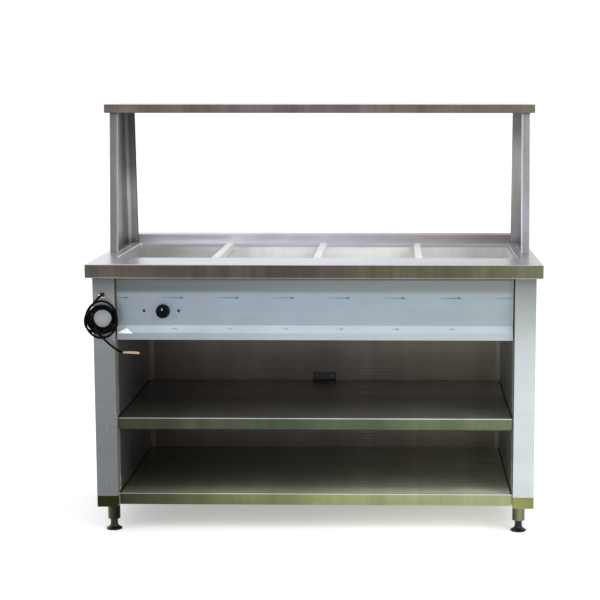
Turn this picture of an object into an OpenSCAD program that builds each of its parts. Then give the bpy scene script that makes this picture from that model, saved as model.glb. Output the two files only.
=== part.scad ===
// Four-bay electric steam table: a worktop with a heated water well, lift-out divider
// bars, an overshelf on two tapered uprights, and an open cabinet with two shelves on
// adjustable feet. A mains lead hangs in a coil at the left front post.
// Millimetres, +Z up, the front faces -Y, the origin is the centre of the footprint
// at floor level.

/* [Worktop] */
// Width of the worktop
top_w = 1500; // [1490:5:1600]
// Depth of the worktop
top_d = 800; // [800:5:840]
// Height of the work surface above the floor
top_z = 910; // [900:1:930]
// Height of the turned-down edge
nosing_h = 46; // [36:1:50]
// Width of the lip turned in below the edge
nosing_lip = 14; // [8:1:18]
// Height of the front face of the rear upstand
upstand_h = 28; // [20:1:50]
// Rise of the upstand's top towards the back
upstand_rise = 6; // [0:1:12]
// Depth of the rear upstand
upstand_d = 24; // [18:1:26]

/* [Well] */
// Clear width of the well opening
well_w = 1360; // [1300:10:1370]
// Clear depth of the well opening
well_d = 510; // [500:2:520]
// Depth of the worktop strip in front of the well
well_front = 215; // [205:1:220]
// Inner depth of the water well below the work surface
well_h = 198; // [190:1:205]
// Number of pan bays
bays = 4; // [4:1:4]
// Width of a divider bar
bar_w = 25; // [18:1:30]
// Height of a divider bar
bar_h = 20; // [12:1:30]
// Length of the tab that rests on the worktop at each end of a bar
bar_tab = 12; // [8:1:16]

/* [Overshelf] */
// Height of the overshelf's top above the floor
over_z = 1425; // [1380:5:1500]
// Depth of the overshelf
over_d = 340; // [325:5:345]
// Height of the overshelf's edge
over_h = 30; // [25:1:40]
// Distance between the outer faces of the uprights
upright_span = 1470; // [1466:1:1472]
// Width of an upright's front flange
upright_front = 30; // [20:1:34]
// Width of an upright's rear flange
upright_rear = 40; // [30:1:44]

/* [Cabinet] */
// Width of the cabinet
cab_w = 1460; // [1456:1:1462]
// Depth of the cabinet
cab_d = 750; // [746:1:752]
// Height of the cabinet's lower edge above the floor
cab_z = 90; // [85:1:100]
// Width of a corner post's face
post_w = 70; // [68:1:72]
// Height of the upper shelf above the floor
shelf_z = 390; // [360:5:430]
// Height of the bottom shelf above the floor
floor_shelf_z = 132; // [130:1:140]
// Height of a shelf's front edge
shelf_edge = 41; // [30:1:42]
// Setback of the apron and the shelves behind the posts' faces
setback = 30; // [28:1:32]
// Thickness of the folded sheet
sheet = 1.5; // [1.2:0.1:1.8]

/* [Controls] */
// Distance of the knob from the middle of the unit
knob_x = 502; // [495:1:515]
// Height of the knob and lamps above the floor
knob_z = 749; // [745:1:760]
// Diameter of the knob
knob_d = 46; // [40:1:50]
// Distance of the left lamp from the knob
lamp_left_dx = 63; // [55:1:70]
// Distance of the right lamp from the knob
lamp_right_dx = 52; // [45:1:65]

/* [Legs] */
// Diameter of a leg tube
leg_d = 42; // [38:1:42]
// Height of a leg tube's lower end above the floor
leg_z = 38; // [36:1:45]
// Distance of each leg from the middle, across
leg_x = 684; // [684:1:690]
// Distance of each leg from the middle, front to back
leg_y = 320; // [318:1:322]
// Diameter of a foot's disc
foot_d = 53; // [44:1:56]

/* [Mains lead] */
// Diameter of the lead
cord_d = 7.5; // [6.5:0.5:8.5]
// Radius of the coil, to the middle of its bundle
coil_r = 43; // [42:1:45]
// Thickness of the coil's bundle
coil_bundle = 20; // [18:1:20]

/* [Hidden] */
$fn = 64;

eps = 1;                              // how far a cutter runs past a face
fit_gap = 0.05;                       // radial clearance of a running fit
front_y = -top_d / 2;
back_y = top_d / 2;
deck_z = top_z - sheet;               // underside of the worktop sheet
well_y0 = front_y + well_front;       // front edge of the well opening
well_y1 = well_y0 + well_d;
well_yc = (well_y0 + well_y1) / 2;
tank_floor = top_z - well_h;          // wetted floor of the well
bay_w = (well_w - (bays - 1) * bar_w) / bays;
bar_pitch = bay_w + bar_w;

cab_front = -cab_d / 2;               // front face of the posts
cab_back = cab_d / 2;
cab_x = cab_w / 2;
inner_x = cab_x - post_w;             // inner face of the posts
post_side = 95;                       // depth of a post's outer side
front_return = 55;                    // depth of a front post's inner side
rear_return = 40;                     // depth of a rear post's inner side
apron_y = cab_front + setback;        // face of the apron and front of the shelves
apron_x = inner_x - 4;                // half width of the apron
apron_top = top_z - 15;
lip_z = 653;                          // lower edge of the apron
lip_h = 25;
joggle_h = 23;
joggle_out = 6;
panel_back = cab_back - 18.5;         // rear face of the back panel
liner_top = lip_z - 1;
shelf_x = inner_x - sheet - 1;
shelf_back = panel_back - sheet - 1;
angle_w = 15;                         // width of a corner angle's legs
ledge_w = 14;                         // width of the ledges the shelves rest on
film_t = 0.3;

over_y0 = 10;                         // front of the overshelf
upright_x = upright_span / 2;
upright_foot_y0 = -15;
upright_foot_y1 = 372;
upright_head_y0 = 38;
upright_head_y1 = over_y0 + over_d - 18;

element_z = tank_floor + 20;
element_r = 4;
element_gap = 60;                     // distance between the two runs of a hairpin
element_offset = 95;                  // distance of each hairpin from the well's middle
element_end = 560;                    // where the hairpins turn back
bulb_x = -600;                        // middle of the thermostat's bulb
hole_gap = 0.1;                       // radial clearance of a hole round a fixed fitting
drain_x = 560;
drain_y = 250;
drain_r = 12.5;                       // bore of the drain
pipe_r = 14;
valve_z0 = 588;
valve_z1 = 632;
nipple_r = 13.2;
nipple_len = 26;
lever_z = (valve_z0 + valve_z1) / 2;
stem_r = 4;
shaft_r = 3;
bush_front = apron_y - 4;             // front end of the thermostat's bush
foot_stem_r = 12.5;
leg_plug = 25;                        // height of the plug that guides the foot

gland = [-697, cab_front, 807];       // where the lead leaves the post
gland_len = 21;
gland_bush_r = 6;                     // the part of the gland that passes through the post
coil_c = [-697, -387, 728];
lead_route = [                        // from the gland into the coil
  [-697, -380, 807], [-697, -394, 807], [-701, -409, 804], [-709, -421, 795],
  [-719, -427, 782], [-730, -427, 768], [-740, -422, 753], [-747, -415, 737],
  [-750, -409, 721], [-748, -404, 706], [-741, -399, 694], [-730, -393, 687],
  [-718, -388, 685]
];
tail_route = [                        // from the coil to the cut end
  [-709, -382, 685], [-704, -389, 676], [-693, -396, 665], [-677, -398, 650],
  [-660, -396, 635], [-643, -394, 623], [-630, -393, 618]
];
wire_end = [-574, -392, 616];
wire_r = 1.2;

steel = [0.78, 0.78, 0.80];
dull_steel = [0.55, 0.54, 0.50];
film_blue = [0.76, 0.82, 0.87];
black = [0.06, 0.06, 0.06];

// ---------- helpers ----------

function unit(v) = v / norm(v);
function left_of(v) = [-v[1], v[0]];
function edge_before(p, i) = left_of(unit(i > 0 ? p[i] - p[i - 1] : p[1] - p[0]));
function edge_after(p, i) =
  left_of(unit(i < len(p) - 1 ? p[i + 1] - p[i] : p[i] - p[i - 1]));
function inner_corner(p, i, t) =
  let (a = edge_before(p, i), b = edge_after(p, i)) p[i] + (a + b) * t / (1 + a * b);

// Outline of a sheet of thickness t folded along the open line p, thick on its left.
function folded(p, t) = concat(p, [for (i = [len(p) - 1:-1:0]) inner_corner(p, i, t)]);

// A profile in Y and Z, drawn out along X about the middle.
module along_x(w) {
  rotate([90, 0, 90]) linear_extrude(w, center = true) children();
}

// A box from its two corners.
module box(lo, hi) {
  translate(lo) cube(hi - lo);
}

// A straight rod from a to b.
module rod(a, b, r) {
  v = b - a;
  translate(a) rotate([0, acos(v[2] / norm(v)), atan2(v[1], v[0])]) cylinder(h = norm(v), r = r);
}

// A round shape whose own +Z points out of the front.
module facing_front(x, y, z) {
  translate([x, y, z]) rotate([90, 0, 0]) children();
}

// Tube of eight sides swept along a route of points; each ring's frame is carried on
// from the one before, so the tube does not twist.
sides = 8;
function heading(p, i) =
  unit(p[min(i + 1, len(p) - 1)] - p[max(i - 1, 0)]);
function carried(u, t) = unit(u - t * (u * t));
function frames(p, i = 0, u = [0, 0, 1]) =
  i == len(p) ? [] : let (t = heading(p, i), v = carried(u, t))
  concat([[v, cross(t, v)]], frames(p, i + 1, v));

module swept_tube(p, r) {
  f = frames(p);
  n = len(p);
  points = [for (i = [0:n - 1]) for (k = [0:sides - 1])
    p[i] + r * (cos(360 * k / sides) * f[i][0] + sin(360 * k / sides) * f[i][1])];
  walls = [for (i = [0:n - 2]) for (k = [0:sides - 1])
    let (m = (k + 1) % sides)
    [i * sides + k, (i + 1) * sides + k, (i + 1) * sides + m, i * sides + m]];
  start = [for (k = [0:sides - 1]) k];
  end = [for (k = [sides - 1:-1:0]) (n - 1) * sides + k];
  polyhedron(points, concat([start], walls, [end]));
}

// ---------- worktop and well ----------

module worktop() {
  color(steel) difference() {
    box([-top_w / 2, front_y, top_z - nosing_h], [top_w / 2, back_y, top_z]);
    box([-top_w / 2 + sheet, front_y + sheet, top_z - nosing_h + sheet],
        [top_w / 2 - sheet, back_y - sheet, deck_z]);
    box([-top_w / 2 + nosing_lip, front_y + nosing_lip, top_z - nosing_h - eps],
        [top_w / 2 - nosing_lip, back_y - nosing_lip, deck_z]);
    box([-well_w / 2, well_y0, deck_z - eps], [well_w / 2, well_y1, top_z + eps]);
  }
}

module rear_upstand() {
  y0 = back_y - upstand_d;
  z1 = top_z + upstand_h;
  line = [[back_y, top_z], [back_y, z1 + upstand_rise], [y0, z1], [y0, top_z]];
  color(steel) along_x(top_w) polygon(folded(line, sheet));
}

module element_runs() {
  for (side = [-1, 1])
    for (run = [-1, 1])
      translate([0, well_yc + side * element_offset + run * element_gap / 2, element_z])
        children();
}

// The four walls of the well; well_floor() closes them at the bottom.
module well_tank() {
  color(steel) difference() {
    box([-well_w / 2 - sheet, well_y0 - sheet, tank_floor - sheet],
        [well_w / 2 + sheet, well_y1 + sheet, deck_z]);
    box([-well_w / 2, well_y0, tank_floor - sheet - eps], [well_w / 2, well_y1, deck_z + eps]);
    element_runs() translate([-well_w / 2 - 4, 0, 0]) rotate([0, 90, 0])
      cylinder(h = 6, r = element_r);
    facing_front(bulb_x, well_y0 + eps, element_z) cylinder(h = 4, r = 4);
  }
}

module well_floor() {
  color(steel) difference() {
    box([-well_w / 2, well_y0, tank_floor - sheet], [well_w / 2, well_y1, tank_floor]);
    translate([drain_x, drain_y, tank_floor - sheet - eps])
      cylinder(h = 4, r = pipe_r + hole_gap);
  }
}

module divider_bar(i) {
  x = (i - bays / 2) * bar_pitch;
  clear = 1;                          // end clearance of the bar's sides in the well
  color(steel) difference() {
    union() {
      box([x - bar_w / 2, well_y0 - bar_tab, top_z],
          [x + bar_w / 2, well_y1 + bar_tab, top_z + sheet]);
      box([x - bar_w / 2, well_y0 + clear, top_z - bar_h],
          [x + bar_w / 2, well_y1 - clear, top_z + sheet]);
    }
    box([x - bar_w / 2 + sheet, well_y0, top_z - bar_h - eps],
        [x + bar_w / 2 - sheet, well_y1, top_z]);
  }
}

module heating_element(side) {
  y = well_yc + side * element_offset;
  start = -well_w / 2 - 12;
  color(dull_steel) union() {
    for (run = [-1, 1])
      translate([element_end, y + run * element_gap / 2, element_z]) rotate([0, -90, 0])
        cylinder(h = element_end - start, r = element_r);
    translate([element_end, y, element_z]) rotate([0, 0, -90])
      rotate_extrude(angle = 180) translate([element_gap / 2, 0]) circle(r = element_r);
    for (x = [-400, 0, 400])
      box([x - 2, y - element_gap / 2 - 8, tank_floor],
          [x + 2, y + element_gap / 2 + 8, element_z - element_r / 2]);
  }
}

module element_flanges() {
  color([0.80, 0.65, 0.35]) for (side = [-1, 1])
    translate([-well_w / 2 - sheet, well_yc + side * element_offset, element_z]) difference() {
      union() {
        translate([-6, -45, -12]) cube([6, 90, 24]);
        translate([-10, 0, 0]) rotate([0, 90, 0]) cylinder(h = 10, r = 9, $fn = 6);
      }
      for (run = [-1, 1])
        translate([-20, run * element_gap / 2, 0]) rotate([0, 90, 0])
          cylinder(h = 30, r = element_r);
    }
}

// ---------- controls ----------

module thermostat_body() {
  color([0.85, 0.83, 0.78]) difference() {
    union() {
      box([-knob_x - 24, apron_y + sheet, knob_z - 22], [-knob_x + 24, apron_y + 45, knob_z + 22]);
      facing_front(-knob_x, apron_y + 5, knob_z) cylinder(h = apron_y + 5 - bush_front, r = 5);
    }
    facing_front(-knob_x, apron_y + 40, knob_z) cylinder(h = 60, r = shaft_r + fit_gap);
  }
}

module thermostat_shaft() {
  color([0.70, 0.70, 0.72])
    facing_front(-knob_x, apron_y + 39, knob_z) cylinder(h = 59, r = shaft_r);
}

module thermostat_bulb() {
  a = [bulb_x, well_y0 + 35, element_z];
  b = [bulb_x, well_y0 - 70, element_z];
  c = [-knob_x, apron_y + 45.3, knob_z + 5];
  color([0.72, 0.45, 0.30]) union() {
    rod(a - [60, 0, 0], a + [60, 0, 0], 3);
    rod(a, b, 1);
    translate(b) sphere(r = 1.4, $fn = 24);
    rod(b, c, 1);
    facing_front(a[0], well_y0 - sheet, a[2]) cylinder(h = 8, r = 8, $fn = 6);
    facing_front(a[0], well_y0 + 3, a[2]) cylinder(h = 6, r = 4);
  }
}

knob_back = bush_front - 0.5;
knob_len = 22;
flutes = 18;

module control_knob() {
  color(black) facing_front(-knob_x, knob_back, knob_z) difference() {
    union() {
      cylinder(h = 5, r = knob_d / 2);
      cylinder(h = knob_len, r = knob_d / 2 - 2.5);
    }
    for (k = [0:flutes - 1])
      rotate([0, 0, 360 * (k + 0.5) / flutes]) translate([knob_d / 2 - 1, 0, 6.5])
        cylinder(h = knob_len, r = 2.4);
    translate([-1, 6, knob_len - 0.8]) cube([2, 11, 2]);
    translate([0, 0, -eps]) cylinder(h = 17 + eps, r = shaft_r);
  }
}

module knob_pointer() {
  color([0.92, 0.92, 0.90]) facing_front(-knob_x, knob_back, knob_z)
    translate([-1, 6, knob_len - 0.8]) cube([2, 11, 0.8]);
}

bezel_r = 7.5;
lens_r = 5;
lamp_r = 6;                           // the part of a lamp that passes through the apron
function lamp_x(side) = side < 0 ? -knob_x - lamp_left_dx : -knob_x + lamp_right_dx;

module lamp(side) {
  color([0.88, 0.86, 0.84]) facing_front(lamp_x(side), apron_y, knob_z) difference() {
    union() {
      translate([0, 0, film_t]) cylinder(h = 2.5, r1 = bezel_r, r2 = bezel_r - 1);
      translate([0, 0, -28]) cylinder(h = 29, r = lamp_r);
      translate([0, 0, -sheet - 5]) cylinder(h = 5, r = 8.5, $fn = 6);
    }
    translate([0, 0, -2]) cylinder(h = 6, r = lens_r);
  }
}

module lamp_lens(side) {
  color([0.45, 0.10, 0.05]) facing_front(lamp_x(side), apron_y, knob_z) union() {
    translate([0, 0, -2]) cylinder(h = 4.5, r = lens_r);
    translate([0, 0, 2.5]) cylinder(h = 1.5, r1 = lens_r, r2 = lens_r - 2);
  }
}

module terminal_block() {
  poles = 4;
  color([0.90, 0.90, 0.86]) difference() {
    box([-630, apron_y + sheet, 775], [-570, apron_y + 22, 800]);
    for (k = [0:poles - 1])
      translate([-622.5 + 15 * k, apron_y + 12, 790]) cylinder(h = 12, r = 3.5);
  }
}

module internal_wiring() {
  behind = apron_y + 45;
  run_x = -well_w / 2 - 22;
  ends_y = well_yc + element_offset;
  color([0.35, 0.30, 0.28]) {
    swept_tube([[gland[0], gland[1] + 4, gland[2]], [gland[0], behind, gland[2]], [-600, behind, 808],
                [-600, apron_y + 14, 799]], 3);
    swept_tube([[-575, apron_y + 20, 785], [-545, apron_y + 30, 785], [-knob_x, apron_y + 30, 770]], 2);
    swept_tube([[-625, apron_y + 20, 785], [run_x, behind, 770], [run_x, ends_y, element_z],
          [-well_w / 2 - 10, ends_y, element_z]], 2);
    for (side = [-1, 1])
      swept_tube([[-585, apron_y + 20, 780], [lamp_x(side), apron_y + 45, 770],
            [lamp_x(side), apron_y + 27, knob_z]], 1.5);
  }
}

module cable_gland() {
  color(black) translate(gland) rotate([90, 0, 0]) difference() {
    union() {
      cylinder(h = 4, r = 9, $fn = 6);
      cylinder(h = 9, r = 7);
      translate([0, 0, 9]) cylinder(h = gland_len - 9, r1 = 7, r2 = 5);
      translate([0, 0, -8]) cylinder(h = 9, r = gland_bush_r);
      translate([0, 0, -sheet - 5]) cylinder(h = 5, r = 9, $fn = 6);
    }
    translate([0, 0, -10]) cylinder(h = 30, r = cord_d / 2);
  }
}

// ---------- drain ----------

module drain_pipe() {
  color(steel) translate([drain_x, drain_y, 0]) difference() {
    union() {
      translate([0, 0, tank_floor]) cylinder(h = 2, r = 24);
      translate([0, 0, valve_z1]) cylinder(h = tank_floor - valve_z1, r = pipe_r);
    }
    translate([0, 0, valve_z1 - eps]) cylinder(h = tank_floor - valve_z1 + 6, r = drain_r);
  }
}

module drain_valve_body() {
  boss_y = -34;
  color([0.78, 0.62, 0.32]) translate([drain_x, drain_y, 0]) difference() {
    union() {
      translate([0, 0, valve_z0]) cylinder(h = valve_z1 - valve_z0, r = 19, $fn = 6);
      translate([0, 0, valve_z0 + 7]) cylinder(h = valve_z1 - valve_z0 - 14, r = 21);
      translate([0, 0, valve_z0 - nipple_len]) cylinder(h = nipple_len, r = nipple_r);
      translate([0, 0, lever_z]) rotate([90, 0, 0]) cylinder(h = -boss_y, r = 8);
      translate([0, boss_y, lever_z]) rotate([90, 0, 0]) cylinder(h = 10, r = stem_r);
      translate([0, boss_y - 4, lever_z]) rotate([90, 0, 0]) cylinder(h = 5, r = 7, $fn = 6);
    }
    translate([0, 0, valve_z0 - nipple_len - eps])
      cylinder(h = nipple_len + valve_z1 - valve_z0 + 2 * eps, r = 10);
  }
}

module drain_valve_lever() {
  y1 = drain_y - 34.3;
  y0 = y1 - 3.4;
  color([0.70, 0.12, 0.10]) difference() {
    union() {
      facing_front(drain_x, y1, lever_z) cylinder(h = y1 - y0, r = 10);
      box([drain_x, y0, lever_z - 7], [drain_x + 70, y1, lever_z + 7]);
      facing_front(drain_x + 70, y1, lever_z) cylinder(h = y1 - y0, r = 7);
    }
    facing_front(drain_x, y1 + eps, lever_z) cylinder(h = 6, r = stem_r + fit_gap);
  }
}

// ---------- cabinet ----------

module under_tank_cover() {
  color(dull_steel) difference() {
    box([-apron_x, apron_y + 4, lip_z + sheet], [apron_x, shelf_back, lip_z + 2 * sheet]);
    translate([drain_x, drain_y, lip_z]) cylinder(h = 6, r = pipe_r + 2);
  }
}

module front_apron() {
  line = [[apron_y + 16, apron_top], [apron_y, apron_top],
          [apron_y, lip_z + lip_h + joggle_h], [apron_y - joggle_out, lip_z + lip_h],
          [apron_y - joggle_out, lip_z], [apron_y + 16, lip_z]];
  color(steel) difference() {
    along_x(2 * apron_x) polygon(folded(line, sheet));
    facing_front(-knob_x, apron_y + 5, knob_z) cylinder(h = 10, r = 5.2);
    for (side = [-1, 1])
      facing_front(lamp_x(side), apron_y + 5, knob_z) cylinder(h = 10, r = lamp_r + hole_gap);
  }
}

module back_panel() {
  color(dull_steel)
    box([-apron_x, panel_back - sheet, cab_z], [apron_x, panel_back, apron_top]);
}

module side_panel() {
  color(steel) box([-cab_x, cab_front + post_side, cab_z],
                   [-cab_x + sheet, cab_back - post_side, apron_top]);
}

module side_liner() {
  color(dull_steel) union() {
    box([-inner_x, cab_front + front_return + 2, cab_z],
        [-inner_x + sheet, panel_back - sheet, liner_top]);
    for (z = [floor_shelf_z - sheet, shelf_z - sheet])
      box([-inner_x + sheet / 2, apron_y + 2 * sheet, z - sheet],
          [-inner_x + ledge_w, panel_back - angle_w - 3 * sheet, z]);
  }
}

// A left post: outer side, face and inner side; dir is 1 at the front, -1 at the back.
module post(dir, return_d) {
  y = dir * cab_front;
  line = [[-cab_x, y + dir * post_side], [-cab_x, y], [-inner_x, y], [-inner_x, y + dir * return_d]];
  color(steel) translate([0, 0, cab_z]) linear_extrude(deck_z - cab_z)
    polygon(folded(line, dir * sheet));
}

module drilled_post() {
  color(steel) difference() {
    post(1, front_return);
    translate(gland) rotate([90, 0, 0])
      cylinder(h = 10, r = gland_bush_r + hole_gap, center = true);
  }
}

module shelf(z) {
  notch = angle_w + 1;
  color(dull_steel) difference() {
    box([-shelf_x, apron_y, z - shelf_edge], [shelf_x, shelf_back, z]);
    box([-shelf_x - eps, apron_y + sheet, z - shelf_edge + sheet],
        [shelf_x + eps, shelf_back + eps, z - sheet]);
    box([-shelf_x - eps, apron_y + 12, z - shelf_edge - eps],
        [shelf_x + eps, shelf_back + eps, z - sheet]);
    for (side = [-1, 1])
      translate([side * inner_x, panel_back, z - shelf_edge / 2])
        cube([2 * (notch + sheet), 2 * (notch + sheet), shelf_edge + 2 * eps], center = true);
  }
}

module hat(w, depth, h, z) {
  line = [[-depth / 2 - 12, z], [-depth / 2, z], [-depth / 2, z - h], [depth / 2, z - h],
          [depth / 2, z], [depth / 2 + 12, z]];
  along_x(w) polygon(folded(line, -sheet));
}

module stiffeners() {
  color(dull_steel) union() {
    hat(1200, 80, 22, shelf_z - sheet);
    hat(1200, 80, 22, floor_shelf_z - sheet);
    translate([0, over_y0 + over_d / 2, 0]) hat(1380, 60, 18, over_z - sheet);
  }
}

module rear_bracket() {
  y = panel_back - sheet;
  line = [[y - 24, shelf_z], [y, shelf_z], [y, shelf_z + 30]];
  color([0.25, 0.24, 0.22]) along_x(86) polygon(folded(line, sheet));
}

module corner_angles() {
  y = panel_back - sheet;
  x = inner_x - sheet;
  line = [[-x, y - angle_w], [-x, y], [-x + angle_w, y]];
  color(dull_steel) for (side = [0, 1])
    mirror([side, 0, 0]) translate([0, 0, floor_shelf_z])
      linear_extrude(liner_top - floor_shelf_z) polygon(folded(line, -sheet));
}

// ---------- legs and feet ----------

leg_place = [[-1, -1], [1, -1], [-1, 1], [1, 1]];

module leg(i) {
  sx = leg_place[i][0];
  sy = leg_place[i][1];
  r = leg_d / 2;
  plate = [post_w - 2 * sheet, 86, 3];
  plate_y = cab_back - sheet - plate[1] / 2;
  color([0.72, 0.72, 0.74]) difference() {
    union() {
      translate([sx * leg_x, sy * leg_y, leg_z]) cylinder(h = 190, r = r);
      translate([sx * (cab_x - post_w / 2), sy * plate_y, cab_z + plate[2] / 2])
        cube(plate, center = true);
    }
    translate([sx * leg_x, sy * leg_y, leg_z + leg_plug]) cylinder(h = 200, r = r - 2.5);
    translate([sx * leg_x, sy * leg_y, leg_z - eps])
      cylinder(h = leg_plug + 2 * eps, r = foot_stem_r + fit_gap);
  }
}

module foot(i) {
  color(black) translate([leg_place[i][0] * leg_x, leg_place[i][1] * leg_y, 0]) union() {
    cylinder(h = 5, r = foot_d / 2);
    translate([0, 0, 5]) cylinder(h = 5, r1 = foot_d / 2, r2 = foot_d / 2 - 9);
    translate([0, 0, 10]) cylinder(h = 6, r = 14, $fn = 6);
    cylinder(h = 120, r = foot_stem_r);
  }
}

// ---------- overshelf ----------

module upright_web() {
  polygon([[upright_foot_y0, top_z], [upright_foot_y1, top_z],
           [upright_head_y1, over_z - sheet], [upright_head_y0, over_z - sheet]]);
}

// The left upright: a tapered web with flanges turned in at the front and back.
module upright() {
  h = over_z - sheet;
  front = [[upright_foot_y0, top_z], [upright_head_y0, h]];
  rear = [[upright_head_y1, h], [upright_foot_y1, top_z]];
  color(steel) union() {
    translate([-upright_x + sheet / 2, 0, 0]) along_x(sheet) upright_web();
    translate([-upright_x + upright_front / 2, 0, 0]) intersection() {
      along_x(upright_front) polygon(folded(front, -1.2 * sheet));
      box([-80, -100, top_z], [80, 500, h]);
    }
    translate([-upright_x + upright_rear / 2, 0, 0]) intersection() {
      along_x(upright_rear) polygon(folded(rear, -1.2 * sheet));
      box([-80, -100, top_z], [80, 500, h]);
    }
    box([-upright_x, upright_foot_y0 + 4, top_z],
        [-upright_x + upright_front - 2, upright_foot_y1 - 4, top_z + sheet]);
  }
}

module overshelf() {
  z0 = over_z - over_h;
  y1 = over_y0 + over_d;
  lip = 12;
  color([0.62, 0.60, 0.57]) difference() {
    box([-top_w / 2, over_y0, z0], [top_w / 2, y1, over_z]);
    box([-top_w / 2 + sheet, over_y0 + sheet, z0 + sheet],
        [top_w / 2 - sheet, y1 - sheet, over_z - sheet]);
    box([-top_w / 2 + lip, over_y0 + lip, z0 - eps], [top_w / 2 - lip, y1 - lip, over_z - sheet]);
  }
}

module screw(r) {
  cylinder(h = 1.2, r = r);
  translate([0, 0, 1.2]) cylinder(h = 1.2, r1 = r, r2 = r * 0.6);
}

module assembly_screws() {
  color([0.70, 0.70, 0.70]) union() {
    for (side = [-1, 1]) {
      for (y = [60, 180, 300])
        translate([side * (upright_x - 15), y, top_z + sheet]) screw(5);
      for (z = [160, 620])
        translate([side * (inner_x - sheet), cab_front + 90, z]) rotate([0, -side * 90, 0]) screw(4);
    }
    for (x = [-28, 28])
      facing_front(x, panel_back - 2 * sheet, shelf_z + 16) screw(3.5);
  }
}

// ---------- protective film ----------

module film_apron() {
  z0 = lip_z + lip_h + joggle_h + 1;
  color(film_blue) difference() {
    box([-apron_x + 1, apron_y - film_t, z0], [apron_x - 1, apron_y, top_z - nosing_h - 4]);
    facing_front(-knob_x, apron_y + 5, knob_z) cylinder(h = 10, r = 5.2);
    for (side = [-1, 1])
      facing_front(lamp_x(side), apron_y + 5, knob_z) cylinder(h = 10, r = lamp_r + hole_gap);
  }
}

module film_posts() {
  color(film_blue) for (side = [0, 1])
    mirror([side, 0, 0]) difference() {
      box([-cab_x + 1, cab_front - film_t, cab_z + 38], [-inner_x - 1, cab_front, top_z - nosing_h - 2]);
      if (side == 0)
        translate(gland) rotate([90, 0, 0]) cylinder(h = 4, r = 10, center = true);
    }
}

// ---------- mains lead ----------

module cord_lead() {
  color(black) swept_tube(lead_route, cord_d / 2);
}

module cord_coil() {
  color(black) translate(coil_c) rotate([90, 0, 0]) rotate_extrude()
    translate([coil_r, 0]) circle(r = coil_bundle / 2, $fn = 32);
}

module cord_tail() {
  color(black) swept_tube(tail_route, cord_d / 2);
}

module cord_conductors() {
  start = tail_route[len(tail_route) - 1] - [4, 0, 0];
  color([0.78, 0.66, 0.48]) union() {
    for (k = [-1:1])
      rod(start + [0, 0, 1.6 * k], wire_end + [-3 * abs(k), 2 * k, 2.6 * k], wire_r);
  }
}

module cord_tie() {
  r = coil_bundle / 2;
  color(black) translate(coil_c) rotate([0, 25, 0]) translate([coil_r, 0, 0]) difference() {
    cylinder(h = 5, r = r + 1.5, center = true);
    cylinder(h = 7, r = r, center = true);
  }
}

worktop();
rear_upstand();
well_tank();
well_floor();
divider_bar(1);  // divider_bar_1
divider_bar(2);  // divider_bar_2
divider_bar(3);  // divider_bar_3
heating_element(-1);  // heating_element_1
heating_element(1);  // heating_element_2
element_flanges();
thermostat_body();
thermostat_shaft();
thermostat_bulb();
control_knob();
knob_pointer();
lamp(-1);  // lamp_left
lamp(1);  // lamp_right
lamp_lens(-1);  // lamp_lens_left
lamp_lens(1);  // lamp_lens_right
terminal_block();
internal_wiring();
cable_gland();
drain_pipe();
drain_valve_body();
drain_valve_lever();
under_tank_cover();
front_apron();
back_panel();
side_panel();  // side_panel_left
mirror([1, 0, 0]) side_panel();  // side_panel_right
side_liner();  // side_liner_left
mirror([1, 0, 0]) side_liner();  // side_liner_right
drilled_post();  // post_front_left
mirror([1, 0, 0]) post(1, front_return);  // post_front_right
post(-1, rear_return);  // post_rear_left
mirror([1, 0, 0]) post(-1, rear_return);  // post_rear_right
shelf(shelf_z);  // upper_shelf
shelf(floor_shelf_z);  // bottom_shelf
stiffeners();
rear_bracket();
corner_angles();
leg(0);  // leg_1
leg(1);  // leg_2
leg(2);  // leg_3
leg(3);  // leg_4
foot(0);  // foot_1
foot(1);  // foot_2
foot(2);  // foot_3
foot(3);  // foot_4
upright();  // upright_left
mirror([1, 0, 0]) upright();  // upright_right
overshelf();
assembly_screws();
film_apron();
film_posts();
cord_lead();
cord_coil();
cord_tail();
cord_conductors();
cord_tie();
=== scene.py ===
"""Visual model of the four-bay steam table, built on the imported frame."""
import math

import bmesh
import bpy
import numpy as np
from mathutils import Matrix, Vector, noise


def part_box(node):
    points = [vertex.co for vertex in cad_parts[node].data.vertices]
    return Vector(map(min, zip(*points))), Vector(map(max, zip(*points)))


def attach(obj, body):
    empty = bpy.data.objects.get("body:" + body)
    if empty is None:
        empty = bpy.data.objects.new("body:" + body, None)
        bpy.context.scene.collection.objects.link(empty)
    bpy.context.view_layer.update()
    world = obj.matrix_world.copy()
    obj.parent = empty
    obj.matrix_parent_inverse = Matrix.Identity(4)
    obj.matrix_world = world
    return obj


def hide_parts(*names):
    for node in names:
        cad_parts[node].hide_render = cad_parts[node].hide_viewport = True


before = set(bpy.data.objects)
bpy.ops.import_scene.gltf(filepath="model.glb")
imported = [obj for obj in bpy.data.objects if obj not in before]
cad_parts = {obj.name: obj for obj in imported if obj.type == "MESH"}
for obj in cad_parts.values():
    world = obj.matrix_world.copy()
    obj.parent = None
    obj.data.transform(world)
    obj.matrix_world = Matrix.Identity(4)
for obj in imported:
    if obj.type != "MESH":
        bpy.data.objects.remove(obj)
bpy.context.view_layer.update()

MM = 0.001
ROOT = "cabinet"
SHEET = 1.5 * MM


# ---------- materials ----------

def tone(r, g, b):
    """Linear colour of an sRGB colour given from 0 to 255."""
    def linear(v):
        v = v / 255
        return v / 12.92 if v <= 0.04045 else ((v + 0.055) / 1.055) ** 2.4
    return linear(r), linear(g), linear(b)


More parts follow.
